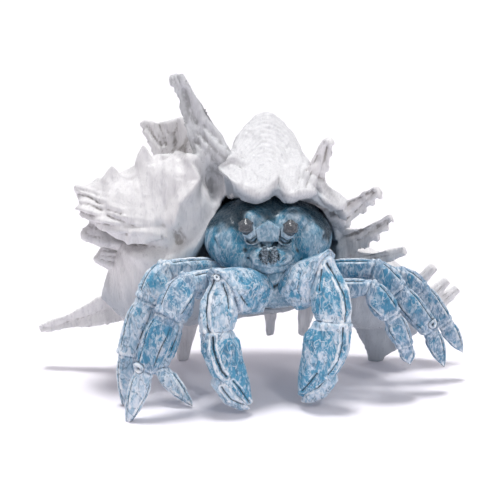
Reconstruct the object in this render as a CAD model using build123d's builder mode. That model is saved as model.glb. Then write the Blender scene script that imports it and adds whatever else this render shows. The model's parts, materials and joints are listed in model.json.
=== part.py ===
from build123d import *
import os

os.makedirs("parts", exist_ok=True)

# A hermit crab in a spiny shell, cast in resin and painted, as a table figurine.
# +X is to the right and -Y to the front as it faces the viewer, and the floor is Z = 0.
# Points are (x, y, z) in millimetres, chosen by eye for the pose.

# Shell body: ovals across X as (x, centre y, centre z, half depth, half height)
SHELL_SECTIONS = [
    (-114, 30, 70, 9, 10),
    (-98, 32, 78, 30, 33),
    (-62, 33, 92, 49, 54),
    (-14, 33, 104, 53, 59),
    (34, 34, 106, 52, 54),
    (60, 38, 100, 40, 42),
    (74, 40, 92, 24, 26),
    (82, 42, 86, 10, 12),
]
# Ribs that run along the back of the body, by their angle up from straight back
RIB_ANGLES = (-38, 8, 52)
RIB_WIDTH = 15.0
RIB_HEIGHT = 7.0
RIB_TAPER = (0.5, 1, 1, 1, 0.8, 0.5)

# Mouth of the shell: ovals from front to back as (y, centre x, centre z, half width, half height)
MOUTH_BACK = 30.0
MOUTH_SECTIONS = [
    (-60, 13, 106, 64, 58),
    (-5, 13, 106, 57, 52),
    (MOUTH_BACK, 13, 108, 45, 40),
]

# Spire: pleated ovals across X, and the tenon that holds it
SPIRE_SECTIONS = [
    (-131, 8, 147, 4, 4),
    (-118, 9, 140, 22, 18),
    (-100, 11, 140, 31, 24),
    (-78, 13, 143, 37, 32),
    (-56, 15, 143, 38, 35),
    (-44, 18, 146, 35, 30),
    (-35, 22, 148, 28, 22),
]
SPIRE_PLEATS = 13
SPIRE_PLEAT_SHARE = 0.07
SPIRE_TENON = ((-66, 30, 106), (-66, 16, 142))

# Canal: ovals across X down the narrow tail of the shell, and its tenon
CANAL_SECTIONS = [
    (62, 42, 70, 32, 26),
    (84, 44, 66, 30, 32),
    (108, 48, 60, 22, 28),
    (132, 52, 53, 13, 17),
    (152, 54, 48, 6, 8),
]
CANAL_TENON = ((52, 43, 78), (88, 43, 72))
TENON_WIDTH = 10.0

# Lip and crest: across X as (x, front edge y, front edge z, crest y, crest z)
LIP_SECTIONS = [
    (-20, -20, 162, 12, 174),
    (-13, -28, 156, 20, 184),
    (-4, -32, 150, 29, 195),
    (4, -33, 148, 34, 202),
    (11, -33, 150, 36, 204),
    (17, -31, 153, 35, 202),
    (25, -33, 149, 33, 196),
    (32, -32, 149, 29, 189),
    (38, -31, 150, 22, 178),
    (44, -28, 150, 15, 169),
    (53, -25, 144, 10, 160),
    (63, -19, 138, 6, 149),
    (71, -13, 132, 6, 140),
]
LIP_THICKNESS = 7.0
CREST_THICKNESS = 4.0
# The outer slope swells midway up the crest, and the underside meets the body at two points
LIP_SLOPE_SHARE_Y = 0.6
LIP_SLOPE_SHARE_Z = 0.4
LIP_SLOPE_REACH = 13.0
LIP_SWELL = 9.0
LIP_EDGE_DEPTH = 14.0
LIP_EDGE_RISE = 2.0
LIP_EDGE_ROUND = 1.0
LIP_SEATS = ((-0.3, 0.7), (-0.72, 0.5))
LIP_TENONS = [((-4, 40, 146), (-4, 17, 168)), ((26, 40, 145), (26, 17, 166))]
LIP_TENON_WIDTH = 6.0

# Spines and frills: root inside the shell, tip, sag, root and tip widths, root thickness and seats
SPINES = {
    "top_spine": ((-20, 14, 140), (-54, 14, 234), 2, 50, 9, 16, ("body", "spire", "lip")),
    "rear_flute": ((-56, 46, 136), (-70, 52, 193), -3, 13, 28, 9, ("body", "spire")),
    "lip_spine_1": ((44, 12, 141), (57, -10, 190), -2, 26, 8, 13, ("body", "lip")),
    "lip_spine_2": ((58, 22, 126), (94, -10, 153), 4, 31, 8, 13, ("body", "lip", "lip_spine_1")),
    "lip_spine_3": ((64, 27, 106), (105, -4, 132), 6, 31, 7, 13, ("body", "lip", "lip_spine_2")),
    "lip_spine_4": ((68, 30, 92), (117, 10, 103), 4, 21, 6, 11, ("body", "canal", "lip_spine_3")),
    "left_spine": ((-84, 32, 64), (-165, 40, 33), 3, 34, 5, 18, ("body",)),
    "belly_spine": ((16, 36, 66), (16, 36, 29), 0, 15, 6, 10, ("body",)),
    "right_belly_spine": ((47, 36, 66), (41, 36, 29), 0, 20, 6, 11, ("body",)),
}
KNOBS = {
    "side_frill_1": ((-88, 22, 112), (-121, 6, 121), 3, 30, 15, 13, ("body", "spire")),
    "side_frill_2": ((-96, 22, 93), (-115, 12, 99), 2, 24, 12, 12, ("body", "side_frill_1")),
    "canal_spine_1": ((122, 42, 62), (143, 40, 82), 1, 16, 6, 10, ("canal",)),
    "canal_spine_2": ((141, 47, 57), (155, 48, 69), 1, 14, 6, 9, ("canal",)),
    "canal_spine_3": ((148, 52, 50), (165, 55, 61), 1, 13, 7, 9, ("canal",)),
}
SPINE_STATIONS = (0, 0.3, 0.6, 0.85, 1)
SPINE_TAPER_POWER = 1.3
SPINE_TIP_THINNING = 0.5
SPINE_PEG_WIDTH = 3.0
SPINE_PEG_SHARE = 0.5

# Feet of the shell: each runs past the floor by the trim and is cut flat there
FOOT_TRIM = 3.0
REAR_FOOT_ROOT = (-47, 56, 64)
REAR_FOOT_TIP = (-54, 62, 0)
REAR_FOOT_STATIONS = ((0, 27), (0.5, 16), (0.8, 12), (1, 8))
BLADE_TIP = (101, 60, 0)
BLADE_LEAN = 0.2
BLADE_LEVELS = [(56, 0, 54, 18), (30, 9, 54, 12), (13, 6, 30, 8), (5, 1, 13, 7)]
BLADE_FOOT_WIDTH = 8.0
BLADE_FOOT_THICKNESS = 6.0
BLADE_PEGS = [((92, 50, 54), (92, 54, 24)), ((118, 51, 54), (118, 54, 26))]

# Crab body: ovals from front to back as (y, centre x, centre z, half width, half height)
SEAT_GAP = 0.2
BODY_BACK = MOUTH_BACK - SEAT_GAP
THORAX_SECTIONS = [
    (-38, 14, 88, 14, 8),
    (-28, 17, 84, 33, 16),
    (-8, 18, 84, 41, 18),
    (14, 18, 89, 36, 15),
    (BODY_BACK, 16, 92, 24, 11),
]
CARAPACE_SECTIONS = [
    (-37, 13, 108, 19, 11),
    (-30, 13, 112, 36, 21),
    (-12, 13, 116, 47, 30),
    (10, 13, 117, 46, 30),
    (BODY_BACK, 13, 115, 38, 25),
]
MUZZLE_SECTIONS = [(-45, 14, 109, 8, 6), (-40, 14, 108, 18, 11), (-20, 14, 106, 27, 17)]
HEAD_ROOM = 2.0
TAIL_CENTRE = (16, 94)
TAIL_WIDTH = 14.0
TAIL_LENGTH = 14.0
BACK_PEG = ((16, 6, 90), (16, 6, 118))
BACK_PEG_WIDTH = 8.0

# Face
BROWS = [(1, -20, 130), (32, -20, 131)]
BROW_DIAMETER = 22.0
CHEEKS = [(-13, -17, 117), (42, -17, 118)]
CHEEK_DIAMETER = 31.0
EYES = {"left": ((6, -24, 114), (-3, -42, 132)), "right": ((22, -24, 114), (29, -42, 131))}
EYE_DIAMETER = 12.0
EYE_SIDES = 10
# Rings of the eye as (height, radius), for an eye with a radius of 1
EYE_RINGS = ((-0.96, 0.3), (-0.45, 0.92), (0.45, 0.92), (0.96, 0.3))
STALK_WIDTH = 9.0
STALK_PEG_WIDTH = 4.0
EYE_PEG_WIDTH = 2.5
EYE_PEG_LENGTH = 2.0
STALK_WALL = 1.2
FACE_ROOT_Y = -14.0
FACE_PLATE_CENTRE = (13, 127)
FACE_PLATE_FRONT = -38.0
FACE_PLATE_WIDTH = 18.0
FACE_PLATE_HEIGHT = 14.0
FACE_PLATE_FLARE = 1.15
MOUTH_PLATES = [(10.4, 112), (17.6, 112)]
MOUTH_PLATE_FRONT = -48.0
MOUTH_PLATE_WIDTH = 6.0
MOUTH_PLATE_HEIGHT = 14.0
MOUTH_PLATE_TAPER = 0.8
FACE_PEG_WIDTH = 2.5
FACE_PEG_COVER = 2.5

# Walking legs: hip, knee, ankle, toe base and toe tip, then the widths of the four pieces
LEGS = {
    "left_leg_1": (
        ((-20, -13, 94), (-61, -34, 99), (-75, -42, 77), (-89, -48, 38), (-91, -50, 0)),
        (15, 21, 19, 15),
    ),
    "left_leg_2": (
        ((-15, -26, 90), (-44, -60, 96), (-59, -74, 74), (-74, -82, 37), (-86, -84, 0)),
        (15, 22, 18, 14.5),
    ),
    "left_leg_3": (
        ((-21, -3, 80), (-46, -32, 80), (-54, -38, 61), (-66, -46, 27), (-43, -56, 3)),
        (12, 16, 14, 13),
    ),
    "right_leg_1": (
        ((52, -28, 82), (87, -38, 86), (103, -39, 65), (114, -36, 41), (118, -34, 27)),
        (13, 18, 15, 12),
    ),
    "right_leg_2": (
        ((52, -15, 93), (91, -22, 97), (109, -23, 80), (134, -22, 49), (145, -20, 21)),
        (14, 19, 17, 13),
    ),
    "right_leg_3": (
        ((54, -3, 85), (112, 2, 86), (129, 5, 73), (149, 8, 46), (163, 10, 23)),
        (13, 17, 16, 13),
    ),
}
# Each leg piece's stations as (share of its length, share of its width)
LEG_PROFILES = {
    "thigh": ((0, 0.85), (0.38, 1.0), (0.75, 1.0), (1, 0.92)),
    "knee": ((0, 0.8), (0.35, 1.0), (0.75, 1.02), (1, 0.86)),
    "shin": ((0, 0.82), (0.3, 1.0), (0.7, 0.95), (1, 0.86)),
    "toe": ((0, 0.86), (0.3, 0.92), (0.65, 0.66), (0.9, 0.36), (1, 0.16)),
}
STANDING_LEGS = ("left_leg_1", "left_leg_2")
LEG_FLATNESS = 0.8
LEG_PEG_WIDTH = 4.0
LEG_PEG_LENGTH = 5.0

# Claws: shoulder, elbow and wrist, then the palm line with its fixed finger, and the free finger
CLAWS = {
    "left_claw": {
        "joints": ((8, -34, 79), (-20, -61, 93), (-24, -70, 62)),
        "palm": ((-21, -71, 52), (-16, -72, 36), (-6, -71, 20), (0, -69, 8)),
        "finger": ((-17, -72, 40), (-20, -72, 25), (-13, -72, 14), (-6, -70, 7), (-1, -68, 4)),
        "widths": (35, 26, 28, 15),
    },
    "right_claw": {
        "joints": ((30, -34, 79), (53, -50, 103), (60, -59, 66)),
        "palm": ((55, -59, 51), (51, -59, 36), (42, -57, 20), (37, -54, 9)),
        "finger": ((54, -59, 38), (55, -59, 24), (50, -58, 14), (43, -56, 8), (38, -54, 5)),
        "widths": (34, 27, 34, 16),
    },
}
ARM_PROFILE = ((0, 0.85), (0.55, 1.0), (1, 0.9))
WRIST_PROFILE = ((0, 0.85), (0.45, 1.0), (0.8, 1.0), (1, 0.9))
PALM_WIDTHS = (0.8, 1.0, 0.84, 0.46, 0.12)
FINGER_WIDTHS = (0.7, 1.0, 0.8, 0.5, 0.16)
CLAW_FLATNESS = 0.74
CLAW_PEG_WIDTH = 8.0
CLAW_PEG_LENGTH = 8.0
FINGER_PEG_WIDTH = 3.0
FINGER_PEG_SHARE = 0.5

# Six-sided steel pins at the roots of the limbs, half in the thorax and half in the limb
PIN_WIDTH = 3.0
PIN_LENGTH = 18.0

# Six-sided pegs cast onto the pieces, and the room around them
PEG_SIDES = 6
PEG_CLEARANCE = 0.15
SOCKET_FLOOR_GAP = 0.3

# Outlines of sections for a width and thickness of 1, with the front towards +Y
LIMB_OUTLINE = [
    (-0.3, 0.46), (-0.5, 0.1), (-0.38, -0.36), (0, -0.5), (0.38, -0.36), (0.5, 0.1), (0.3, 0.46)
]
FACE_PLATE_OUTLINE = [(-0.5, 0.12), (0, 0.5), (0.5, 0.16), (0.4, -0.5), (-0.4, -0.5)]
MOUTH_OUTLINE = [
    (-0.5, 0.2), (-0.25, 0.5), (0.25, 0.5), (0.5, 0.2),
    (0.5, -0.2), (0.25, -0.5), (-0.25, -0.5), (-0.5, -0.2),
]
GUTTER_OUTLINE = [(-0.5, 0.5), (-0.36, -0.1), (0, -0.5), (0.36, -0.1), (0.5, 0.5), (0, 0.24)]


def across_x(x):
    """The plane across X, with local axes along Y and Z."""
    return Plane.YZ.offset(x)


def across_y(y):
    """The plane across Y, with local axes along X and Z."""
    return Plane.XZ.offset(-y)


def oval_loft(sections, plane_at, growth=0.0):
    """A smooth body lofted through ovals, each larger all round by the growth."""
    with BuildPart() as body:
        for place, centre_u, centre_v, half_u, half_v in sections:
            with BuildSketch(plane_at(place)):
                with Locations((centre_u, centre_v)):
                    Ellipse(half_u + growth, half_v + growth)
        loft()
    return body.part


def pleated_loft(sections, plane_at, pleats, pleat_share):
    """A body lofted through ovals whose rim dips in by a share of its size at each pleat."""
    with BuildPart() as body:
        for place, centre_u, centre_v, half_u, half_v in sections:
            rim = []
            for step in range(2 * pleats):
                ray = Vector(1, 0).rotate(Axis.Z, 180 * step / pleats)
                inset = 1 - (step % 2) * pleat_share
                rim.append((centre_u + ray.X * half_u * inset, centre_v + ray.Y * half_v * inset))
            with BuildSketch(plane_at(place)):
                Polygon(*rim, align=None)
        loft(ruled=True)
    return body.part


def shell_oval(x):
    """The shell body's oval at x, as (centre y, centre z, half depth, half height)."""
    for before, after in zip(SHELL_SECTIONS, SHELL_SECTIONS[1:]):
        if before[0] <= x <= after[0]:
            share = (x - before[0]) / (after[0] - before[0])
            return [low + (high - low) * share for low, high in zip(before[1:], after[1:])]


def section_plane(point, forward):
    """A plane across a limb or spine, with its local Y turned to the front."""
    return Plane(origin=point, x_dir=forward.cross(Vector(0, 1, 0)), z_dir=forward)


def path_directions(points, first, last):
    """The direction of a path at each of its points; the ends may be given by a joint."""
    middle = [(after - before).normalized() for before, after in zip(points, points[2:])]
    start = first or (points[1] - points[0]).normalized()
    end = last or (points[-1] - points[-2]).normalized()
    return [start] + middle + [end]


def cast_form(outline, points, widths, thicknesses, first=None, last=None):
    """A cast form that follows points, lofted through a section at each."""
    with BuildPart() as form:
        directions = path_directions(points, first, last)
        for point, forward, width, thickness in zip(points, directions, widths, thicknesses):
            with BuildSketch(section_plane(point, forward)):
                Polygon(*[(u * width, v * thickness) for u, v in outline], align=None)
        loft(ruled=True)
    return form.part


def between(start, end, share):
    """The point at this share of the way from start to end."""
    return start + (end - start) * share


def sagged(start, end, share, sag):
    """The point at this share of a line that hangs by the sag at its middle."""
    return between(start, end, share) - Vector(0, 0, 4 * sag * share * (1 - share))


def key(start, end, width, growth=0.0, end_gap=0.0):
    """A six-sided peg from start to end, which keeps its piece from turning."""
    run = (end - start).normalized()
    with BuildPart() as peg:
        with BuildSketch(Plane(origin=start - run * end_gap, z_dir=run)):
            RegularPolygon(width / 2 + growth, PEG_SIDES, major_radius=False)
        extrude(amount=(end - start).length + 2 * end_gap)
    return peg.part


def socket(start, end, width):
    """The hole that takes a six-sided peg of this size."""
    return key(start, end, width, PEG_CLEARANCE, SOCKET_FLOOR_GAP)


def trimmed(form, *seats):
    """A form with what lies inside its seats cut away, so that it stands on them."""
    with BuildPart() as piece:
        add(form)
        add(seats, mode=Mode.SUBTRACT)
    return piece.part


def seated(form, *seats):
    """A form trimmed by its seats, without the offcuts that the trimming leaves."""
    return trimmed(form, *seats).solids().sort_by(SortBy.VOLUME)[-1]


def joined(form, *additions):
    """A form with its pegs added."""
    with BuildPart() as piece:
        add(form)
        add(additions)
    return piece.part


def finish(piece, name):
    """Label a finished piece and write it."""
    piece.label = name
    export_step(piece, f"parts/{name}.step")


def vectors(points):
    """Points as vectors."""
    return [Vector(*point) for point in points]


# Shell castings as blanks, before their sockets are drilled
with BuildPart() as ribbed_body:
    add(oval_loft(SHELL_SECTIONS, across_x))
    for angle in RIB_ANGLES:
        ray = Vector(1, 0).rotate(Axis.Z, angle)
        line = [
            Vector(x, centre_y + ray.X * half_depth, centre_z + ray.Y * half_height)
            for x, centre_y, centre_z, half_depth, half_height in SHELL_SECTIONS[1:-1]
        ]
        widths = [RIB_WIDTH * share for share in RIB_TAPER]
        heights = [RIB_HEIGHT * share for share in RIB_TAPER]
        add(cast_form(LIMB_OUTLINE, line, widths, heights))
body_blank = ribbed_body.part
canal_blank = trimmed(oval_loft(CANAL_SECTIONS, across_x), body_blank)
spire_blank = trimmed(
    pleated_loft(SPIRE_SECTIONS, across_x, SPIRE_PLEATS, SPIRE_PLEAT_SHARE), body_blank
)

with BuildPart() as lip_form:
    for x, edge_y, edge_z, crest_y, crest_z in LIP_SECTIONS:
        seat_y, seat_z, seat_depth, seat_height = shell_oval(x)
        slope_y = between(edge_y, crest_y, LIP_SLOPE_SHARE_Y)
        slope_z = between(edge_z, crest_z, LIP_SLOPE_SHARE_Z)
        under_z = edge_z - LIP_THICKNESS / 2
        with BuildSketch(across_x(x)):
            Polygon(
                (edge_y + LIP_EDGE_ROUND, under_z),
                (edge_y, edge_z + LIP_THICKNESS / 2),
                (slope_y - LIP_SLOPE_REACH, slope_z),
                (slope_y, slope_z + LIP_SWELL),
                (crest_y, crest_z),
                (crest_y + CREST_THICKNESS, crest_z - CREST_THICKNESS / 2),
                (slope_y + LIP_SLOPE_REACH, slope_z),
                *[(seat_y + u * seat_depth, seat_z + v * seat_height) for u, v in LIP_SEATS],
                (edge_y + LIP_EDGE_DEPTH, under_z + LIP_EDGE_RISE),
                align=None,
            )
    loft(ruled=True)
lip_blank = trimmed(
    lip_form.part, body_blank, oval_loft(CARAPACE_SECTIONS, across_y, growth=HEAD_ROOM)
)

shell_sockets = {name: [] for name in ("body", "spire", "canal", "lip", *SPINES, *KNOBS)}
thorax_sockets = []
carapace_sockets = []

# Spines and frills, each trimmed by what it grows from and held by a peg
castings = {"body": body_blank, "spire": spire_blank, "canal": canal_blank, "lip": lip_blank}
spines = {}
for group, outline in ((SPINES, GUTTER_OUTLINE), (KNOBS, LIMB_OUTLINE)):
    for name, (root, tip, sag, root_width, tip_width, thickness, seats) in group.items():
        root, tip = vectors((root, tip))
        form = cast_form(
            outline,
            [sagged(root, tip, share, sag) for share in SPINE_STATIONS],
            [between(tip_width, root_width, (1 - share) ** SPINE_TAPER_POWER) for share in SPINE_STATIONS],
            [thickness * (1 - SPINE_TIP_THINNING * share) for share in SPINE_STATIONS],
        )
        castings[name] = seated(form, *[castings[seat] for seat in seats])
        peg_end = sagged(root, tip, SPINE_PEG_SHARE, sag)
        spines[name] = joined(castings[name], key(root, peg_end, SPINE_PEG_WIDTH))
        for seat in seats:
            shell_sockets[seat].append(socket(root, peg_end, SPINE_PEG_WIDTH))
belly_pair = [spines.pop(name) for name in ("belly_spine", "right_belly_spine")]
with BuildPart() as belly_spines:
    add(belly_pair)
finish(belly_spines.part, "belly_spines")
for name, spine in spines.items():
    finish(spine, name)

# Rear foot: a stout spine under the shell
foot_root, foot_tip = vectors((REAR_FOOT_ROOT, REAR_FOOT_TIP))
foot_end = foot_tip + (foot_tip - foot_root).normalized() * FOOT_TRIM
foot_form = cast_form(
    LIMB_OUTLINE,
    [between(foot_root, foot_end, share) for share, width in REAR_FOOT_STATIONS],
    [width for share, width in REAR_FOOT_STATIONS],
    [width for share, width in REAR_FOOT_STATIONS],
)
foot_peg_end = between(foot_root, foot_tip, SPINE_PEG_SHARE)
with BuildPart() as rear_foot_spine:
    add(seated(foot_form, body_blank))
    split(bisect_by=Plane.XY, keep=Keep.TOP)
    add(key(foot_root, foot_peg_end, SPINE_PEG_WIDTH))
shell_sockets["body"].append(socket(foot_root, foot_peg_end, SPINE_PEG_WIDTH))
finish(rear_foot_spine.part, "rear_foot_spine")

# Canal blade: a flat fin under the canal
blade_x, blade_y, blade_z = BLADE_TIP
with BuildPart() as blade_form:
    foot_level = (blade_z - FOOT_TRIM, 0, BLADE_FOOT_WIDTH, BLADE_FOOT_THICKNESS)
    for height, shift, width, thickness in BLADE_LEVELS + [foot_level]:
        with BuildSketch(Plane.XY.offset(height)):
            with Locations((blade_x + shift, blade_y - BLADE_LEAN * max(height, blade_z))):
                Polygon(*[(u * width, -v * thickness) for u, v in LIMB_OUTLINE], align=None)
    loft(ruled=True)
    split(bisect_by=Plane.XY, keep=Keep.TOP)
blade_pegs = [key(*vectors(line), SPINE_PEG_WIDTH) for line in BLADE_PEGS]
shell_sockets["canal"] += [socket(*vectors(line), SPINE_PEG_WIDTH) for line in BLADE_PEGS]
finish(joined(seated(blade_form.part, body_blank, canal_blank), *blade_pegs), "canal_blade")

# Crab body as blanks: thorax, and the carapace with its brows, cheeks and muzzle
thorax_blank = oval_loft(THORAX_SECTIONS, across_y)
with BuildPart() as carapace_form:
    add(oval_loft(CARAPACE_SECTIONS, across_y))
    with Locations(*BROWS):
        Sphere(BROW_DIAMETER / 2)
    with Locations(*CHEEKS):
        Sphere(CHEEK_DIAMETER / 2)
    add(oval_loft(MUZZLE_SECTIONS, across_y))
carapace_blank = trimmed(carapace_form.part, thorax_blank)

# Eyes on their stalks
stalk_forms = []
for side, (root, centre) in EYES.items():
    root, centre = vectors((root, centre))
    forward = (centre - root).normalized()
    eye_peg_start = centre - forward * (EYE_DIAMETER / 2 + EYE_PEG_LENGTH)
    with BuildPart() as ball:
        for height, radius in EYE_RINGS:
            with BuildSketch(Plane.XY.offset(centre.Z + height * EYE_DIAMETER / 2)):
                with Locations((centre.X, centre.Y)):
                    RegularPolygon(radius * EYE_DIAMETER / 2, EYE_SIDES)
        loft(ruled=True)
    stalk_forms.append(key(root, centre, STALK_WIDTH))
    stalk = seated(
        stalk_forms[-1],
        carapace_blank,
        ball.part,
        socket(eye_peg_start, centre, EYE_PEG_WIDTH),
    )
    stalk_peg_end = eye_peg_start - forward * STALK_WALL
    finish(joined(ball.part, key(eye_peg_start, centre, EYE_PEG_WIDTH)), f"{side}_eye")
    finish(joined(stalk, key(root, stalk_peg_end, STALK_PEG_WIDTH)), f"{side}_eyestalk")
    carapace_sockets.append(socket(root, stalk_peg_end, STALK_PEG_WIDTH))

# Face plate between the eyes, and the two plates over the mouth
with BuildPart() as plate_form:
    for y, share in ((FACE_ROOT_Y, FACE_PLATE_FLARE), (FACE_PLATE_FRONT, 1)):
        width = FACE_PLATE_WIDTH * share
        height = FACE_PLATE_HEIGHT * share
        with BuildSketch(across_y(y)):
            with Locations(FACE_PLATE_CENTRE):
                Polygon(*[(u * width, v * height) for u, v in FACE_PLATE_OUTLINE], align=None)
    loft(ruled=True)
plate_x, plate_z = FACE_PLATE_CENTRE
plate_peg_end = FACE_PLATE_FRONT + FACE_PEG_COVER
plate_peg = vectors(((plate_x, FACE_ROOT_Y, plate_z), (plate_x, plate_peg_end, plate_z)))
face_plate = seated(plate_form.part, carapace_blank, *stalk_forms)
finish(joined(face_plate, key(*plate_peg, FACE_PEG_WIDTH)), "face_plate")
carapace_sockets.append(socket(*plate_peg, FACE_PEG_WIDTH))

mouth_solids = []
for x, z in MOUTH_PLATES:
    mouth_peg = vectors(((x, FACE_ROOT_Y, z), (x, MOUTH_PLATE_FRONT + FACE_PEG_COVER, z)))
    with BuildPart() as mouth_plate:
        for y, share in ((FACE_ROOT_Y, 1), (MOUTH_PLATE_FRONT, MOUTH_PLATE_TAPER)):
            width = MOUTH_PLATE_WIDTH * share
            height = MOUTH_PLATE_HEIGHT * share
            with BuildSketch(across_y(y)):
                with Locations((x, z)):
                    Polygon(*[(u * width, v * height) for u, v in MOUTH_OUTLINE], align=None)
        loft(ruled=True)
    seated_plate = seated(mouth_plate.part, carapace_blank)
    mouth_solids.append(joined(seated_plate, key(*mouth_peg, FACE_PEG_WIDTH)))
    carapace_sockets.append(socket(*mouth_peg, FACE_PEG_WIDTH))
with BuildPart() as mouthparts:
    add(mouth_solids)
finish(mouthparts.part, "mouthparts")

# Limbs, each held to the thorax by a steel pin
leg_pins = []


def joint_direction(before, joint, after):
    """The direction of a limb where two of its pieces meet: midway between theirs."""
    return ((joint - before).normalized() + (after - joint).normalized()).normalized()


def limb_pin(hip, forward):
    """The two ends of the pin at a limb's root."""
    return hip - forward * (PIN_LENGTH / 2), hip + forward * (PIN_LENGTH / 2)


def limb_form(profile, start, end, width, flatness, first=None, last=None):
    """A limb piece from joint to joint, with its profile's share of the width along it."""
    points = [between(start, end, share) for share, breadth in profile]
    widths = [width * breadth for share, breadth in profile]
    thicknesses = [breadth * flatness for breadth in widths]
    return cast_form(LIMB_OUTLINE, points, widths, thicknesses, first, last)


def limb_root(form, hip, forward):
    """A limb's first piece, seated on the thorax and opened for its pin."""
    pin = limb_pin(hip, forward)
    leg_pins.append(key(*pin, PIN_WIDTH))
    thorax_sockets.append(socket(*pin, PIN_WIDTH))
    return seated(form, thorax_blank, carapace_blank, socket(*pin, PIN_WIDTH))


for leg, (joints, widths) in LEGS.items():
    joints = vectors(joints)
    if leg in STANDING_LEGS:
        joints[-1] += (joints[-1] - joints[-2]).normalized() * FOOT_TRIM
    turns = [None] + [joint_direction(*joints[i : i + 3]) for i in range(3)] + [None]
    for number, (piece_name, profile) in enumerate(LEG_PROFILES.items()):
        start, end = joints[number : number + 2]
        first, last = turns[number : number + 2]
        with BuildPart() as piece:
            add(limb_form(profile, start, end, widths[number], LEG_FLATNESS, first, last))
            if first:
                add(key(start - first * LEG_PEG_LENGTH, start, LEG_PEG_WIDTH))
            if last:
                add(socket(end - last * LEG_PEG_LENGTH, end, LEG_PEG_WIDTH), mode=Mode.SUBTRACT)
            if piece_name == "toe" and leg in STANDING_LEGS:
                split(bisect_by=Plane.XY, keep=Keep.TOP)
        form = piece.part
        if number == 0:
            form = limb_root(form, start, (end - start).normalized())
        finish(form, f"{leg}_{piece_name}")

for claw, shape in CLAWS.items():
    shoulder, elbow, wrist = vectors(shape["joints"])
    palm_line = [wrist] + vectors(shape["palm"])
    finger_line = vectors(shape["finger"])
    arm_width, wrist_width, palm_width, finger_width = shape["widths"]
    elbow_turn = joint_direction(shoulder, elbow, wrist)
    wrist_turn = joint_direction(elbow, wrist, palm_line[1])
    elbow_peg = (elbow - elbow_turn * CLAW_PEG_LENGTH, elbow)
    wrist_peg = (wrist - wrist_turn * CLAW_PEG_LENGTH, wrist)
    finger_peg = (finger_line[0], between(finger_line[1], finger_line[2], FINGER_PEG_SHARE))

    arm = limb_form(ARM_PROFILE, shoulder, elbow, arm_width, CLAW_FLATNESS, last=elbow_turn)
    arm = limb_root(arm, shoulder, (elbow - shoulder).normalized())
    finish(trimmed(arm, socket(*elbow_peg, CLAW_PEG_WIDTH)), f"{claw}_arm")

    wrist_form = limb_form(
        WRIST_PROFILE, elbow, wrist, wrist_width, CLAW_FLATNESS, elbow_turn, wrist_turn
    )
    wrist_form = trimmed(wrist_form, socket(*wrist_peg, CLAW_PEG_WIDTH))
    finish(joined(wrist_form, key(*elbow_peg, CLAW_PEG_WIDTH)), f"{claw}_wrist")

    palm_widths = [palm_width * share for share in PALM_WIDTHS]
    palm_depths = [width * CLAW_FLATNESS for width in palm_widths]
    palm = cast_form(LIMB_OUTLINE, palm_line, palm_widths, palm_depths, first=wrist_turn)
    finger_widths = [finger_width * share for share in FINGER_WIDTHS]
    finger_depths = [width * CLAW_FLATNESS for width in finger_widths]
    finger = seated(cast_form(LIMB_OUTLINE, finger_line, finger_widths, finger_depths), palm)
    finish(joined(finger, key(*finger_peg, FINGER_PEG_WIDTH)), f"{claw}_finger")
    palm = trimmed(palm, socket(*finger_peg, FINGER_PEG_WIDTH))
    finish(joined(palm, key(*wrist_peg, CLAW_PEG_WIDTH)), f"{claw}_palm")

with BuildPart() as pins:
    add(leg_pins)
finish(pins.part, "limb_pins")

# Crab body, drilled for its limbs and face
back_peg = vectors(BACK_PEG)
tail_x, tail_z = TAIL_CENTRE
tail_peg = vectors(((tail_x, BODY_BACK - TAIL_LENGTH, tail_z), (tail_x, BODY_BACK + TAIL_LENGTH, tail_z)))
thorax = trimmed(thorax_blank, *thorax_sockets, socket(*back_peg, BACK_PEG_WIDTH))
finish(joined(thorax, key(*tail_peg, TAIL_WIDTH)), "thorax")
carapace = trimmed(carapace_blank, *carapace_sockets, *thorax_sockets)
finish(joined(carapace, key(*back_peg, BACK_PEG_WIDTH)), "carapace")
shell_sockets["body"].append(socket(*tail_peg, TAIL_WIDTH))

# Shell castings, opened, drilled and joined by their tenons
tenons = [(vectors(SPIRE_TENON), TENON_WIDTH), (vectors(CANAL_TENON), TENON_WIDTH)]
tenons += [(vectors(line), LIP_TENON_WIDTH) for line in LIP_TENONS]
spire_tenon, canal_tenon, *lip_tenons = [key(*line, width) for line, width in tenons]
shell_sockets["body"] += [socket(*line, width) for line, width in tenons]
mouth = oval_loft(MOUTH_SECTIONS, across_y)
finish(trimmed(body_blank, mouth, *shell_sockets["body"]), "shell_body")
finish(joined(trimmed(spire_blank, *shell_sockets["spire"]), spire_tenon), "shell_spire")
finish(joined(trimmed(canal_blank, *shell_sockets["canal"]), canal_tenon), "shell_canal")
finish(joined(trimmed(lip_blank, *shell_sockets["lip"]), *lip_tenons), "lip_crest")
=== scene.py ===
# %% [markdown]
# # A painted hermit crab in a spiny sea shell
# The object is a table figurine: a blue crab that looks out of a chalky white shell, cast in resin
# and painted by hand. The CAD model already gives each casting its size and its place, with plain
# facets. In this lesson each casting gets the sculpted skin and the paint of the real one.

# %% Load the CAD castings
import json
import math

import bmesh
import bpy
import numpy as np
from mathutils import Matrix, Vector, noise
from mathutils.bvhtree import BVHTree


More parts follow.
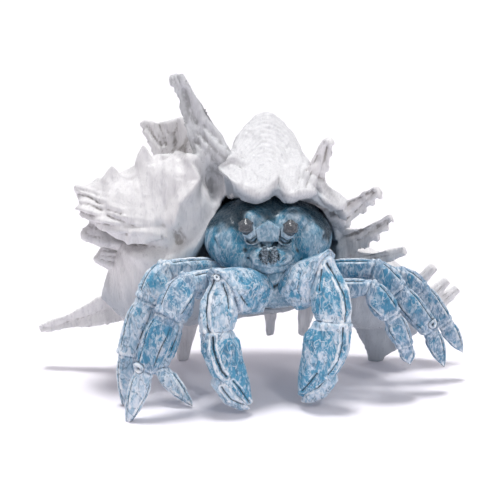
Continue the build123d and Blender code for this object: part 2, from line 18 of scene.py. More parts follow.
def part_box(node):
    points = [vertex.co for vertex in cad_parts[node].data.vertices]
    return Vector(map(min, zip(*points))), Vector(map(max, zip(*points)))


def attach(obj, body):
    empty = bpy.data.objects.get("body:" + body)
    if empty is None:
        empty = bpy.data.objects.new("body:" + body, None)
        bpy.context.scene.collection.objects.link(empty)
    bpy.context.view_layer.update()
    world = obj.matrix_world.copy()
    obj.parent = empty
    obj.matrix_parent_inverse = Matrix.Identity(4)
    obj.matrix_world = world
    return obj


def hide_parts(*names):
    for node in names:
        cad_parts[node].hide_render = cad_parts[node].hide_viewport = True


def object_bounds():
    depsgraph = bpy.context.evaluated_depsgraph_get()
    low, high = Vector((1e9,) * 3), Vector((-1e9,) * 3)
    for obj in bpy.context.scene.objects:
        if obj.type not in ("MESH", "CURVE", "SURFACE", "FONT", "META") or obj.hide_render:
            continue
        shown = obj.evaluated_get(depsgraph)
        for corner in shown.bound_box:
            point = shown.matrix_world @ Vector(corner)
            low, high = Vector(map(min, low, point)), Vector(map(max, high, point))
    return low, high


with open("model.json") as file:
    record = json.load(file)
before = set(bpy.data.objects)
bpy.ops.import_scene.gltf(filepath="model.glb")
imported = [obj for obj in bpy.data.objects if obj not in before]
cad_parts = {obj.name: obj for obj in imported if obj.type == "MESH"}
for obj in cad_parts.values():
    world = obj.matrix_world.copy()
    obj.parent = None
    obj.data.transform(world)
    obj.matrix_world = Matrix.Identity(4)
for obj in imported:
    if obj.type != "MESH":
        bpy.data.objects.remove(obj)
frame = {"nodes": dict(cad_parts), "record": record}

cad_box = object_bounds()
MM = 0.001
scene = bpy.context.scene
cad_size = [round(side / MM) for side in cad_box[1] - cad_box[0]]
print("castings:", len(frame["nodes"]), "size in mm:", cad_size)

# %% [markdown]
# ## Camera
# The figurine was photographed with a long lens from a little above. A camera could be placed by eye,
# but the picture's own proportions give it: the width of the frame and the focal length in the same
# pixels give the lens, and the angle at which the floor shows gives the tilt.

# %% Camera
PICTURE_PIXELS = 500
FOCAL_PIXELS = 1400
CAMERA_TILT = math.radians(13)
CAMERA_DISTANCE = 1.05
LOOK_AT = Vector((0, 0, 0.105))


def add_object(name, data):
    """Put new data into the scene."""
    thing = bpy.data.objects.new(name, data)
    scene.collection.objects.link(thing)
    return thing


camera_data = bpy.data.cameras.new("studio_camera")
camera_data.sensor_width = 36
camera_data.lens = camera_data.sensor_width * FOCAL_PIXELS / PICTURE_PIXELS
camera = add_object("studio_camera", camera_data)
camera.location = LOOK_AT + CAMERA_DISTANCE * Vector((0, -math.cos(CAMERA_TILT), math.sin(CAMERA_TILT)))
camera.rotation_euler = (math.pi / 2 - CAMERA_TILT, 0, 0)
scene.camera = camera
print("lens in mm:", round(camera_data.lens, 1))

# %% [markdown]
# ## Studio
# The figurine stands on a white sweep under a bright ceiling. A broad light straight from above burns
# the floor out to white and lays soft dark pools under the claws. A sky dome could light it alone, but
# then nothing would have a direction, so a wide sun is added. The dome is darker in front, which keeps
# the walls that face the viewer in half shade, and a small lamp puts sparks on the glossy head.

# %% Floor and lights
FLOOR_HALF = 15.0
FLOOR_WHITE = (0.95, 0.92, 0.97, 1)
SUN_FROM = Vector((-0.06, 0.05, 1.0))
SUN_STRENGTH = 2.1
SUN_SPREAD = math.radians(13)
DOME_HORIZON = 0.28
FRONT_SHARE = 0.42
DOME_WHITE = (0.985, 0.965, 1, 1)
SPARK_AT = Vector((0.42, -0.9, 0.85))
SPARK_SIZE = 0.14
SPARK_POWER = 2.6


def add_node(tree, kind, **settings):
    """A new shading node with some inputs set; a _ in an input's name stands for a space."""
    node = tree.nodes.new("ShaderNode" + kind)
    for name, value in settings.items():
        node.inputs[name.replace("_", " ")].default_value = value
    return node


def new_paint(name):
    """A material, with its nodes and its surface shader."""
    paint = bpy.data.materials.new(name)
    paint.use_nodes = True
    return paint, paint.node_tree, paint.node_tree.nodes["Principled BSDF"]


def add_lamp(name, kind, power, shines_from):
    """A lamp that shines from a direction."""
    lamp = add_object(name, bpy.data.lights.new(name, kind))
    lamp.data.energy = power
    lamp.rotation_euler = shines_from.to_track_quat("Z", "Y").to_euler()
    return lamp


floor_mesh = bpy.data.meshes.new("floor")
corners = [(x * FLOOR_HALF, y * FLOOR_HALF, 0) for x, y in ((-1, -1), (1, -1), (1, 1), (-1, 1))]
floor_mesh.from_pydata(corners, [], [(0, 1, 2, 3)])
floor = add_object("floor", floor_mesh)

floor_paint, _, floor_shader = new_paint("white_sweep")
floor_shader.inputs["Base Color"].default_value = FLOOR_WHITE
floor_shader.inputs["Roughness"].default_value = 0.9
floor_mesh.materials.append(floor_paint)

world = bpy.data.worlds.new("studio")
world.use_nodes = True
sky = world.node_tree
heading = add_node(sky, "TexCoord")
compass = add_node(sky, "SeparateXYZ")
ceiling = add_node(sky, "MapRange", To_Min=DOME_HORIZON)
backdrop = add_node(sky, "MapRange", From_Min=-1, To_Min=FRONT_SHARE)
glow = add_node(sky, "Math")
glow.operation = "MULTIPLY"
sky.links.new(heading.outputs["Generated"], compass.inputs["Vector"])
for axis, light, factor in (("Z", ceiling, 0), ("Y", backdrop, 1)):
    sky.links.new(compass.outputs[axis], light.inputs["Value"])
    sky.links.new(light.outputs["Result"], glow.inputs[factor])
sky.links.new(glow.outputs["Value"], sky.nodes["Background"].inputs["Strength"])
sky.nodes["Background"].inputs["Color"].default_value = DOME_WHITE
scene.world = world
scene.view_settings.view_transform = "Standard"

sun = add_lamp("overhead_sun", "SUN", SUN_STRENGTH, SUN_FROM)
sun.data.angle = SUN_SPREAD
spark = add_lamp("front_spark", "AREA", SPARK_POWER, SPARK_AT - LOOK_AT)
spark.data.size = SPARK_SIZE
spark.location = SPARK_AT

# %% [markdown]
# ## The skin of the shell
# A CAD casting has few, large faces. Melting it with a voxel remesh gives an even net of small squares,
# closed and without the seams of the facets, and a smoothing pass rounds the edges as a sculptor's thumb
# does. That net is the clay for all that follows. On the real figurine the spines grow out of the shell
# without a seam, because the joints were filled before painting. So all of the shell's castings are
# melted together first and sculpted as one skin.

# %% Melt the shell into clay
SHELL_GRAIN = 1.0


def clay(name, nodes, grain, thumb_rounds):
    """A new piece with the shape of these CAD nodes, as an even net of squares of this grain in mm."""
    kneaded = bmesh.new()
    for node in nodes:
        kneaded.from_mesh(frame["nodes"][node].data)
    facets = bpy.data.meshes.new(name)
    kneaded.to_mesh(facets)
    kneaded.free()
    piece = add_object(name, facets)
    melt = piece.modifiers.new("melt", "REMESH")
    melt.mode = "VOXEL"
    melt.voxel_size = grain * MM
    thumb = piece.modifiers.new("thumb", "SMOOTH")
    thumb.factor = 0.5
    thumb.iterations = thumb_rounds
    melted = piece.evaluated_get(bpy.context.evaluated_depsgraph_get())
    piece.data = bpy.data.meshes.new_from_object(melted)
    piece.modifiers.clear()
    bpy.data.meshes.remove(facets)
    piece.data.name = name
    piece.data.materials.clear()
    return piece


shell_nodes = [row["node"] for row in frame["record"]["subparts"] if row["material_slot"] == "shell_white"]
shell = clay("shell", shell_nodes, SHELL_GRAIN, 3)
print("shell castings:", len(shell_nodes), "points:", len(shell.data.vertices))

# %% [markdown]
# ## Which casting a point belongs to
# The skin is cut again later, where the castings meet, so that each keeps its own name. So every point
# is told which casting it lies nearest to. Testing every face would be slow, so a search tree over the
# faces of each casting finds the nearest one.

# %% Owners of the points
CLAY_OUTSIDE = 4.0


def triples(rows, field):
    """Three numbers from each row of Blender's data."""
    flat = np.empty(3 * len(rows))
    rows.foreach_get(field, flat)
    return flat.reshape(-1, 3)


def points_of(piece):
    """The points of a piece in millimetres."""
    return triples(piece.data.vertices, "co") / MM


def owners(points, nodes):
    """The number of the CAD node that each point lies nearest to."""
    nearest = np.full(len(points), np.inf)
    owner = np.zeros(len(points), int)
    for number, node in enumerate(nodes):
        mesh = frame["nodes"][node].data
        tree = BVHTree.FromPolygons([v.co for v in mesh.vertices], [p.vertices for p in mesh.polygons])
        low, high = (np.array(corner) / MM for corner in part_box(node))
        inside = ((points > low - CLAY_OUTSIDE) & (points < high + CLAY_OUTSIDE)).all(1)
        for index in np.flatnonzero(inside):
            gap = tree.find_nearest(Vector(points[index] * MM))[3] / MM
            if gap < nearest[index]:
                nearest[index] = gap
                owner[index] = number
    return owner


shell_points = points_of(shell)
shell_owner = owners(shell_points, shell_nodes)


def belongs(*nodes):
    """Which points of the shell belong to some of its castings."""
    return np.isin(shell_owner, [shell_nodes.index(node) for node in nodes])


print("points per casting:", {node: int(belongs(node).sum()) for node in shell_nodes})

# %% [markdown]
# ## Smooth the spire
# The CAD spire has pleats all round, but on the real one only the lower left is pleated. Many rounds of
# smoothing take them out. A smoothing modifier would need a group of points for that, so here the
# spire's own points are moved directly, each one towards its neighbours.

# %% Smooth the spire
SPIRE_ROUNDS = 220


def relax(points, edges, rounds):
    """A smoothed copy of the points: each one moves half of the way to its neighbours, many times."""
    count = len(points)
    ties = np.bincount(edges.ravel(), minlength=count)[:, None]
    first, second = edges.T
    for _ in range(rounds):
        sums = [np.bincount(first, x[second], count) + np.bincount(second, x[first], count) for x in points.T]
        points = (points + np.stack(sums, 1) / np.maximum(ties, 1)) / 2
    return points


def edges_of(piece):
    """The pairs of points that the net of a piece joins."""
    edges = np.empty(2 * len(piece.data.edges), np.int32)
    piece.data.edges.foreach_get("vertices", edges)
    return edges.reshape(-1, 2)


chosen = belongs("shell_spire")
edges = edges_of(shell)
edges = (np.cumsum(chosen) - 1)[edges[chosen[edges].all(1)]]
smoothed = shell_points.copy()
smoothed[chosen] = relax(shell_points[chosen], edges, SPIRE_ROUNDS)
print("spire points smoothed:", int(chosen.sum()))

# %% [markdown]
# ## Pull the big forms
# Some big forms are pulled, which is easier than piling up clay: the knobs on the crown, the bend of the
# tall spine, and the smooth column that comes up to the head. A pull is strongest at its own place, and
# a bell curve over the distance lets it fade. Below a scalloped line the lip turns under, so that its
# edge lies in its own shade.

# %% Pull the big forms
PULLS = [
    # The spire's cup goes in, and its lower edge comes out
    ((-72, -20, 150), 52, (0, 9, 0)), ((-80, -14, 122), 36, (0, -10, 0)),
    ((-105, -10, 128), 30, (0, -7, 0)),
    # The points of its crown, from the left, and the dips between them
    ((-129, 3, 149), 11, (-4, -2, 6)), ((-114, 9, 157), 13, (0, 0, -4)),
    ((-103, 1, 162), 11, (0, -3, 10)), ((-91, 14, 166), 20, (0, 0, -10)),
    ((-80, 5, 172), 11, (0, -2, 14)), ((-68, 12, 174), 13, (0, 0, -7)),
    ((-57, 12, 175), 10, (0, -2, 3)), ((-46, 6, 174), 10, (4, -4, 4)),
    # Two arches of the lip, and the flute's mouth
    ((20, -32, 150), 9, (0, 0, 3)), ((40, -31, 148), 14, (0, 0, 4)),
    ((-81, 51, 190), 13, (-2, 0, 5)), ((-52, 48, 176), 18, (8, 0, 0)),
    ((-56, 50, 184), 26, (12, -4, 1)),
    # The slanted left end of the lip, and the crest
    ((-19, -15, 173), 20, (-7, 9, 2)), ((-18, -18, 156), 15, (6, 2, 5)),
    ((-2, -4, 200), 22, (6, 0, 0)), ((14, -4, 196), 60, (4, 0, 0)),
    # The roots of three spines, and the bend of the tall one
    ((-27, 6, 172), 28, (3, -12, 0)), ((48, -2, 166), 24, (-2, -10, 0)),
    ((66, 10, 134), 26, (-2, -10, 2)),
    ((-44, 14, 206), 34, (5, -2, 0)), ((-36, 14, 182), 34, (6, -8, 0)),
    # The left wall, and the column
    ((-108, 28, 80), 26, (5, 0, 0)),
    ((-38, -10, 140), 34, (9, -5, 0)), ((-44, -10, 116), 30, (9, -4, 0)),
]
# The scalloped line, as (x, z), below which the lip turns under
SCALLOPS = ((-22, 166), (-10, 162), (7, 154), (14, 159), (21, 165), (25, 158), (28, 154), (36, 154))
SCALLOPS += ((43, 156), (49, 160), (55, 151), (63, 145), (70, 139))
UNDER_SLOPE = 1.1
UNDER_DEPTH = 10.0


def bell(distance, reach):
    """1 at no distance, and nearly 0 past the reach."""
    return np.exp(-((2 * distance / reach) ** 2))


def fade(value, low, high):
    """0 below low and 1 above high, with a soft change between."""
    share = np.clip((value - low) / (high - low), 0, 1)
    return share * share * (3 - 2 * share)


def dabs(points, spots):
    """Heights of dabs of clay, each given as (place, reach, height)."""
    heights = np.zeros(len(points))
    for place, reach, height in spots:
        heights += height * bell(np.linalg.norm(points - np.array(place), axis=1), reach)
    return heights


def pulled(points, pulls):
    """Points after clay was pulled at some places, each given as (place, reach, pull)."""
    return points + sum(np.outer(dabs(points, [(place, reach, 1)]), pull) for place, reach, pull in pulls)


def move_to(piece, points):
    """Put the points of a piece where they are given, in millimetres, but none below the floor."""
    points = np.maximum(points, (-np.inf, -np.inf, 0))
    piece.data.vertices.foreach_set("co", (points * MM).ravel())
    piece.data.update()


smoothed = pulled(smoothed, PULLS)
below = np.interp(smoothed[:, 0], *zip(*SCALLOPS)) - smoothed[:, 2]
front_lip = belongs("lip_crest") * fade(-smoothed[:, 1], 0, 12)
under = np.clip(UNDER_SLOPE * below, 0, UNDER_DEPTH) * front_lip
smoothed[:, 1] += under
move_to(shell, smoothed)
print("largest move in mm:", round(np.linalg.norm(points_of(shell) - shell_points, axis=1).max(), 1))
shell_points = points_of(shell)

# %% [markdown]
# ## A grid along each spine
# Furrows and torn edges have to follow a spine, also where it bends. So each of its points is given a
# place along the spine's line, a turn round it from the front, and a distance from it. The legs, the
# claws and the eyes use the same grid later.

# %% Grid of the spines
SPINE_LINES = {
    "top_spine": ((-20, 14, 140), (-54, 14, 234)),
    "rear_flute": ((-56, 46, 136), (-70, 52, 193)),
    "lip_spine_1": ((44, 12, 141), (57, -10, 190)),
    "lip_spine_2": ((58, 22, 126), (77, 6, 136), (94, -10, 153)),
    "lip_spine_3": ((64, 27, 106), (85, 12, 113), (105, -4, 132)),
    "lip_spine_4": ((68, 30, 92), (92, 20, 94), (117, 10, 103)),
    "left_spine": ((-84, 32, 64), (-165, 40, 33)),
    "side_frill_1": ((-88, 22, 112), (-121, 6, 121)),
    "side_frill_2": ((-96, 22, 93), (-115, 12, 99)),
    "rear_foot_spine": ((-47, 56, 64), (-54, 62, 0)),
    "canal_spine_1": ((122, 42, 62), (143, 40, 82)),
    "canal_spine_2": ((141, 47, 57), (155, 48, 69)),
    "canal_spine_3": ((148, 52, 50), (165, 55, 61)),
}


def nearest_on(places, line):
    """Each place's distance to a line through several points, and how far along the line that is."""
    line = np.array(line, float)
    gap = np.full(len(places), np.inf)
    along = np.zeros(len(places))
    walked = 0.0
    for start, run in zip(line, np.diff(line, axis=0)):
        share = np.clip((places - start) @ run / (run @ run), 0, 1)
        here = np.linalg.norm(places - start - share[:, None] * run, axis=1)
        closer = here < gap
        gap[closer] = here[closer]
        along[closer] = walked + share[closer] * np.linalg.norm(run)
        walked += np.linalg.norm(run)
    return gap, along


def limb_grid(points, path):
    """Each point's place along a limb's path (0 to 1), turn from the front and radius; the path's length."""
    path = np.array(path, float)
    runs = np.diff(path, axis=0)
    lengths = np.linalg.norm(runs, axis=1)
    stations = np.append(0, np.cumsum(lengths))
    _, along = nearest_on(points, path)
    middles = stations[:-1] + lengths / 2
    forward = np.stack([np.interp(along, middles, runs[:, k] / lengths) for k in range(3)], 1)
    forward /= np.linalg.norm(forward, axis=1)[:, None]
    centre = np.stack([np.interp(along, stations, path[:, k]) for k in range(3)], 1)
    front = forward * forward[:, 1:2] - (0, 1, 0)
    front /= np.linalg.norm(front, axis=1)[:, None]
    side = np.cross(forward, front)
    away = points - centre
    turn = np.arctan2((away * side).sum(1), (away * front).sum(1))
    return along / stations[-1], turn, np.linalg.norm(away, axis=1), stations[-1]


grids = {node: limb_grid(shell_points[belongs(node)], line) for node, line in SPINE_LINES.items()}
print("spine lengths in mm:", {node: round(length) for node, (_, _, _, length) in grids.items()})

# %% [markdown]
# ## Spines and the crest
# Each spine is a long gutter that the animal rolled up, so it has furrows from root to tip. Noise lets
# them wander a little. Four of the spines have a ragged edge, like torn paper, on one side. The crest is
# a fan whose fine ribs spread from a point deep in the shell, and higher up its growth lines take over,
# as ovals one inside the other.

# %% Furrows, ragged edges and ribs
FURROWS = 7
FURROW_DEPTH = 0.26
FURROW_LIMIT = 1.6
SMOOTH_SPINES = ("left_spine", "rear_foot_spine")
# Spines with a torn edge: the direction that edge faces, its number of tabs and their height
RAGGED = {
    "lip_spine_1": ((1, 0, 0), 5, 1.8),
    "lip_spine_2": ((0.3, 0, -1), 5, 3.0),
    "lip_spine_3": ((0.3, 0, -1), 6, 3.2),
    "top_spine": ((-1, 0, 0), 3, 2.5),
}
CREST_ROOT = (13, 96)
CREST_RIB_DEGREES = 2.0
CREST_RIB_DEPTH = 0.16
# The crest's growth lines are ovals round this (x, z), of this width for their height
GROWTH_CENTRE = (12, 146)
GROWTH_WIDTH = 0.6
GROWTH_LINE = 2.8
# Between these heights the growth lines take over from the ribs
GROWTH_FROM = (162, 176)


def normals_of(piece):
    """The outward direction at each point of a piece."""
    return triples(piece.data.vertex_normals, "vector")


def rough(points, lump, seed):
    """Noise from -1 to 1 with lumps of this size in mm; three sizes stretch it along the axes."""
    places = points / np.array(lump) + seed
    return np.array([noise.noise(place) for place in places.tolist()])


x, _, z = shell_points.T
shell_normals = normals_of(shell)
heights, stain_and_shade = np.zeros((2, len(shell_points)))
wander = rough(shell_points, 18, 3.0)
for node, (along, turn, radius, _) in grids.items():
    mine = belongs(node)
    furrows = (0.5 - 0.5 * np.cos(FURROWS * turn + 2.2 * wander[mine] + 2 * along)) ** 2
    open_end = fade(along, 0.1, 0.45) * (0.4 if node in SMOOTH_SPINES else 1)
    open_end *= fade(np.abs(shell_normals[mine, 1]), 0.1, 0.45)
    heights[mine] -= np.minimum(FURROW_DEPTH * radius, FURROW_LIMIT) * furrows * open_end
    # Painted shade: the furrows' hollows are darkened, partly by a grey wash and partly by the shade that
    # falls in them
    stain_and_shade[mine] = 0.9 * furrows**3 * open_end * fade(wander[mine], -0.5, 0.2)
    if node in RAGGED:
        edge, tabs, reach = RAGGED[node]
        facing = fade(shell_normals[mine] @ np.array(edge), 0.3, 0.9)
        torn = fade(np.cos(2 * np.pi * tabs * along + 3 * wander[mine]), -0.1, 0.7)
        heights[mine] += reach * facing * (torn - 0.5) * fade(along, 0.25, 0.5)
        stain_and_shade[mine] += 0.35 * facing * (1 - torn)

crest = belongs("lip_crest")
fan = np.degrees(np.arctan2(x - CREST_ROOT[0], z - CREST_ROOT[1]))
ribs = np.cos(2 * np.pi * (fan + 1.2 * wander) / CREST_RIB_DEGREES)
aside = (x - GROWTH_CENTRE[0]) / GROWTH_WIDTH
ring = np.hypot(aside, z - GROWTH_CENTRE[1]) + 1.5 * wander
high_up = fade(z, *GROWTH_FROM)
ribs += high_up * (np.cos(2 * np.pi * ring / GROWTH_LINE) - ribs)
heights[crest] += CREST_RIB_DEPTH * ribs[crest]
print("deepest furrow in mm:", round(heights.min(), 2))

# %% [markdown]
# ## The cupped spire
# The spire looks like a cupped leaf. Its middle is hollow and smooth, its right rim stands up sharply,
# its crown has blunt knobs with scoops between them, and its lower edge hangs over the wall below in a
# pleated frill with a deep pit at the end. Dabs and drawn lines shape all of that on the plain oval. A
# drawn line is a groove with a low bank on each side, and its ink goes into the paint as a dark wash
# that is partly painted shade in the groove; the pit, the hollows of the pleats and the wall under the
# frill get painted shade too.

# %% Lines drawn on the shell
# A drawn line has a bank at this many widths beside it, of this share of its depth, and a narrower ink
BANK_AT = 1.15
BANK_SHARE = 0.45
INK_SHARE = 0.55
SPIRE_RIM = ((-44, 174), (-41, 167), (-37, 159), (-42, 152), (-51, 143), (-54, 134), (-55, 126))
SPIRE_FRILL = ((-122, 141), (-115, 132), (-101, 124), (-90, 120), (-76, 119), (-60, 117))
BELOW_FRILL = ((-118, 127), (-101, 116), (-90, 112), (-76, 111), (-62, 110))
LEDGE = ((-122, 115), (-111, 112), (-99, 110))
# Grooves of the tall spine, the flute, the pleats, the crest and the lip: line, width, depth and ink
SHELL_GROOVES = [
    (((-49, 222), (-46, 211), (-41, 199), (-39, 187)), 6, 2.4, 1),
    (((-38, 193), (-28, 183), (-18, 175), (-7, 169)), 3.4, 1.6, 0.8),
    (((-40, 187), (-32, 178), (-22, 170), (-10, 163)), 3.4, 1.6, 0.8),
    (((-34, 198), (-25, 189), (-15, 181), (-5, 175)), 3.4, 1.6, 0.8),
    (((-42, 181), (-35, 172), (-28, 165)), 3.4, 1.6, 0.8),
    (((-71, 196), (-68, 187), (-64, 178)), 3.6, 1.8, 1),
    (((-56, 194), (-57, 186), (-58, 179)), 3.6, 1.8, 1),
    (((-79, 192), (-74, 184), (-69, 178)), 3.6, 1.8, 0.8),
    (((-121, 147), (-108, 142), (-95, 136)), 3.2, 1.6, 0.6),
    (((-118, 142), (-104, 136), (-87, 128)), 3.2, 1.8, 0.7),
    (((-120, 137), (-106, 130), (-90, 124)), 3.2, 1.8, 0.7),
    (((-117, 131), (-104, 125), (-92, 120)), 3.2, 1.6, 0.6),
    (((50, 160), (53, 172), (56, 184)), 3.0, 1.4, 0.8),
    (((33, 156), (38, 166), (41, 178)), 3.6, 1.0, 0.4),
    (((41, 157), (45, 166), (49, 178)), 3.2, 1.0, 0.5),
    (((-30, 164), (-20, 160), (-12, 158)), 3.2, 1.2, 0.6),
    (((61, 134), (70, 138), (83, 146), (90, 151)), 3.6, 1.8, 0.9),
    (((62, 107), (75, 113), (91, 120), (101, 127)), 3.6, 1.8, 0.9),
]
SWELLS = [(SPIRE_RIM, 8, -4.0, 0), (SPIRE_FRILL, 7, -3.5, 0), (BELOW_FRILL, 9, 4.5, 1), (LEDGE, 7, -2.5, 0)]


def line_gap(places, line):
    """Each place's distance to a line, on a plane or in space."""
    return nearest_on(places, line)[0]


def drawn(points, normals, lines):
    """Heights, dark wash with painted shade, and white bank with painted highlight, of lines on the front:
    ((x, z) points, width, depth, ink) each.
    """
    heights, wash_and_shade, bank = np.zeros((3, len(points)))
    front = fade(-normals[:, 1], 0.0, 0.35)
    for line, width, depth, ink in lines:
        gap = line_gap(points[:, [0, 2]], line)
        beside = bell(gap - BANK_AT * width, width)
        heights += front * depth * (BANK_SHARE * beside - bell(gap, width))
        wash_and_shade = np.maximum(wash_and_shade, front * ink * bell(gap, INK_SHARE * width))
        bank = np.maximum(bank, front * ink * beside)
    return heights, wash_and_shade, bank


# Only the line below the frill has ink: it is a painted shadow under the frill's overhang
raised, under_frill_shade, _ = drawn(shell_points, shell_normals, SWELLS)
folded, groove_wash_and_shade, _ = drawn(shell_points, shell_normals, SHELL_GROOVES)
print("lines:", len(SWELLS) + len(SHELL_GROOVES))

# %% Shape the spire
PIT = (-53, -18, 117)
PIT_SHADE_REACH = 12
# Scoops of the crown and the cup, the pit with two lumps beside it, and a notch in the lip
SHELL_SPOTS = [
    ((-114, -6, 152), 18, -4.0), ((-89, -6, 164), 22, -5.0), ((-66, -24, 151), 46, -5.5),
    (PIT, 14, -11.0), ((-45, -14, 112), 11, 3.0), ((-60, -16, 111), 11, 2.5),
    ((20, -30, 157), 12, -4.5),
]
# Soft limits in mm, to the left of the middle or in height, of the spire, its rim and its pleats
SPIRE_LEFT = (26, 34)
RIM_LEFT = (22, 30)
RIM_BOTTOM = (112, 126)
RIM_TOP = (168, 175)
PLEATS_LEFT = (70, 92)
PLEATS_REACH = 24
RIM_STEP = 4.0
PLEAT_WAVE = 4.6
PLEAT_DEPTH = 1.3

near_spire = fade(-x, *SPIRE_LEFT)
from_front = fade(-shell_normals[:, 1], 0, 0.3)
rim_x, rim_z = np.array(SPIRE_RIM[::-1], float).T
past_rim = x - np.interp(z, rim_z, rim_x)
set_back = fade(past_rim, -1, 4) * fade(-x, *RIM_LEFT)
set_back *= fade(z, *RIM_BOTTOM) * (1 - fade(z, *RIM_TOP))
heights -= RIM_STEP * set_back * from_front
heights += raised * near_spire + folded + dabs(shell_points, SHELL_SPOTS)
# Painted shade: the grooves darken, partly as wash and partly as shade, and the whole tall spine is darkened
# as painted shade because its front lies away from the light
stain_and_shade += 0.6 * groove_wash_and_shade + 0.5 * belongs("top_spine")
frill_gap = line_gap(shell_points[:, [0, 2]], SPIRE_FRILL)
pleated = bell(frill_gap, PLEATS_REACH) * fade(-x, *PLEATS_LEFT) * from_front
across_pleats = z + 0.12 * x + 2.0 * wander
folds = np.cos(2 * np.pi * across_pleats / PLEAT_WAVE)
heights += PLEAT_DEPTH * folds * pleated
# Painted shade under the spire's frill and in the hollows of its pleats
stain_and_shade += 0.3 * under_frill_shade * near_spire + 0.3 * pleated * fade(-folds, 0.5, 1)
# Painted shade in the deep pit
stain_and_shade += 0.9 * dabs(shell_points, [(PIT, PIT_SHADE_REACH, 1)])
print("lowest and highest in mm:", round(heights.min(), 1), round(heights.max(), 1))

# %% [markdown]
# ## Folds and grain
# A shell grows in steps, which leave faint waves across it. The sculptor's clay added soft folds with a
# crease between them, and small lumps that are longer upwards. Noise whose sign is dropped has creases.
# The column beside the head stays smooth.

# %% Folds and grain
GROWTH_WAVE = 9.0
GROWTH_HEIGHT = 0.14
CREASE_HEIGHT = 1.5
COLUMN = ((-26, 166), (-31, 150), (-33, 134), (-37, 114), (-42, 98))
COLUMN_WIDTH = 38
COLUMN_ROUNDS = 25


def push(piece, heights):
    """Move each point of a piece out, or in where negative, by its height in millimetres."""
    move_to(piece, points_of(piece) + normals_of(piece) * heights[:, None])


slant = x + 0.22 * z
growth = np.sin(2 * np.pi * (slant + 5 * wander) / GROWTH_WAVE)
column = bell(line_gap(shell_points[:, [0, 2]], COLUMN), COLUMN_WIDTH)
column *= fade(-shell_normals[:, 1], -0.2, 0.4)
column *= np.maximum(fade(past_rim, -3, 3), fade(-z, -126, -114))
creased = 1 - 2 * np.abs(rough(shell_points, (23, 23, 38), 7.0))
lumps = 0.6 * rough(shell_points, (8, 8, 17), 17.0) + 0.5 * rough(shell_points, (3.6, 3.6, 10), 11.0)
heights += (GROWTH_HEIGHT * growth * ~crest + CREASE_HEIGHT * creased + lumps) * (1 - 0.8 * column)
push(shell, heights)
shell_points = points_of(shell)
thumbed = relax(shell_points, edges_of(shell), COLUMN_ROUNDS)
move_to(shell, shell_points + np.clip(1.5 * column, 0, 1)[:, None] * (thumbed - shell_points))
print("push from", round(heights.min(), 1), "to", round(heights.max(), 1), "mm")

# %% [markdown]
# ## Where the paint and the painted shade gather
# The painter works in three layers: a pale coat, a thin dark wash that runs into the hollows, and a
# nearly dry white brush that only touches the ridges. The dark in the hollows is partly painted shade,
# and the white on the ridges partly painted highlight. Comparing each point with a smoothed copy of the
# surface tells hollows from ridges, and the result is stored on the mesh for the paints to read.

# %% Feel for hollows
FEEL_ROUNDS = 10
HOLLOW_WASH_AND_SHADE = 0.7
SHELL_SOAK = 0.6


def depths(piece):
    """How far each point lies below its smoothed surroundings, in mm; ridges are negative."""
    points = points_of(piece)
    return ((relax(points, edges_of(piece), FEEL_ROUNDS) - points) * normals_of(piece)).sum(1)


def wash_and_shade_in(depth, soak):
    """How much wash and painted shade lie in hollows of these depths; from the soak depth on it is the most.
    """
    return HOLLOW_WASH_AND_SHADE * fade(depth, 0.3 * soak, soak)


shell_wash_and_shade = wash_and_shade_in(depths(shell), SHELL_SOAK) + stain_and_shade
# This share counts the wash together with the painted shade
print("share of the shell with wash:", round(float((shell_wash_and_shade > 0.3).mean()), 3))

# %% [markdown]
# ## The inside of the mouth
# The mouth is a hollow around the crab, and its smooth wall gets a blue-grey painted shade, darkest
# at the back. Any point of the shell that lies inside the mouth's oval and faces its middle belongs to
# it. A thinner painted shade lies on the column, under the lip, beside the head, low on the wall, and on
# the crest and the tall spine.

# %% Paint numbers of the shell
RIGHT_WALL = ((58, 132), (66, 118), (69, 104), (67, 92))
MOUTH_CENTRE = np.array((13, 106))
MOUTH_HALF = np.array((60, 55))

shell_points = points_of(shell)
from_ahead = shell_points[:, [0, 2]]
across = (from_ahead - MOUTH_CENTRE) / MOUTH_HALF
inside = 1 - fade(np.linalg.norm(across, axis=1), 0.86, 1.02)
facing = normals_of(shell)
inward = -(facing[:, [0, 2]] * across).sum(1)
painted_shade = inside * fade(inward, 0.0, 0.35) * fade(shell_points[:, 1], -34, -18)
beside_head = bell(line_gap(from_ahead, RIGHT_WALL), 16) * fade(-facing[:, 1], -0.3, 0.2)
low_wall = belongs("shell_body", "shell_canal", "canal_blade") * fade(-shell_points[:, 2], -105, -50)
thin_shades = [0.48 * column + 0.075 * under, 0.8 * beside_head, 0.7 * low_wall]
thin_shades += [0.33 * crest, 0.42 * belongs("top_spine")]
painted_shade = np.maximum.reduce([painted_shade, *thin_shades])
paint_numbers = {
    "wash_and_shade": shell_wash_and_shade,
    "ridge": 0.5 - 0.5 * np.where(crest, ribs, growth),
    "painted_shade": painted_shade,
}
print("share of points inside the mouth:", round(float((painted_shade > 0.5).mean()), 3))

# %% [markdown]
# ## Mixing paints
# Each paint is a stack of colours, and each colour lies over the one below where a mask says so. The
# masks are noise for brush marks and sponge dabs, and the wash and ridge numbers of the mesh. A few
# small helpers keep these stacks short to read.

# %% Helpers for paints
def skin_number(tree, name):
    """A number stored on the mesh."""
    reader = add_node(tree, "Attribute")
    reader.attribute_name = name
    return reader.outputs["Fac"]


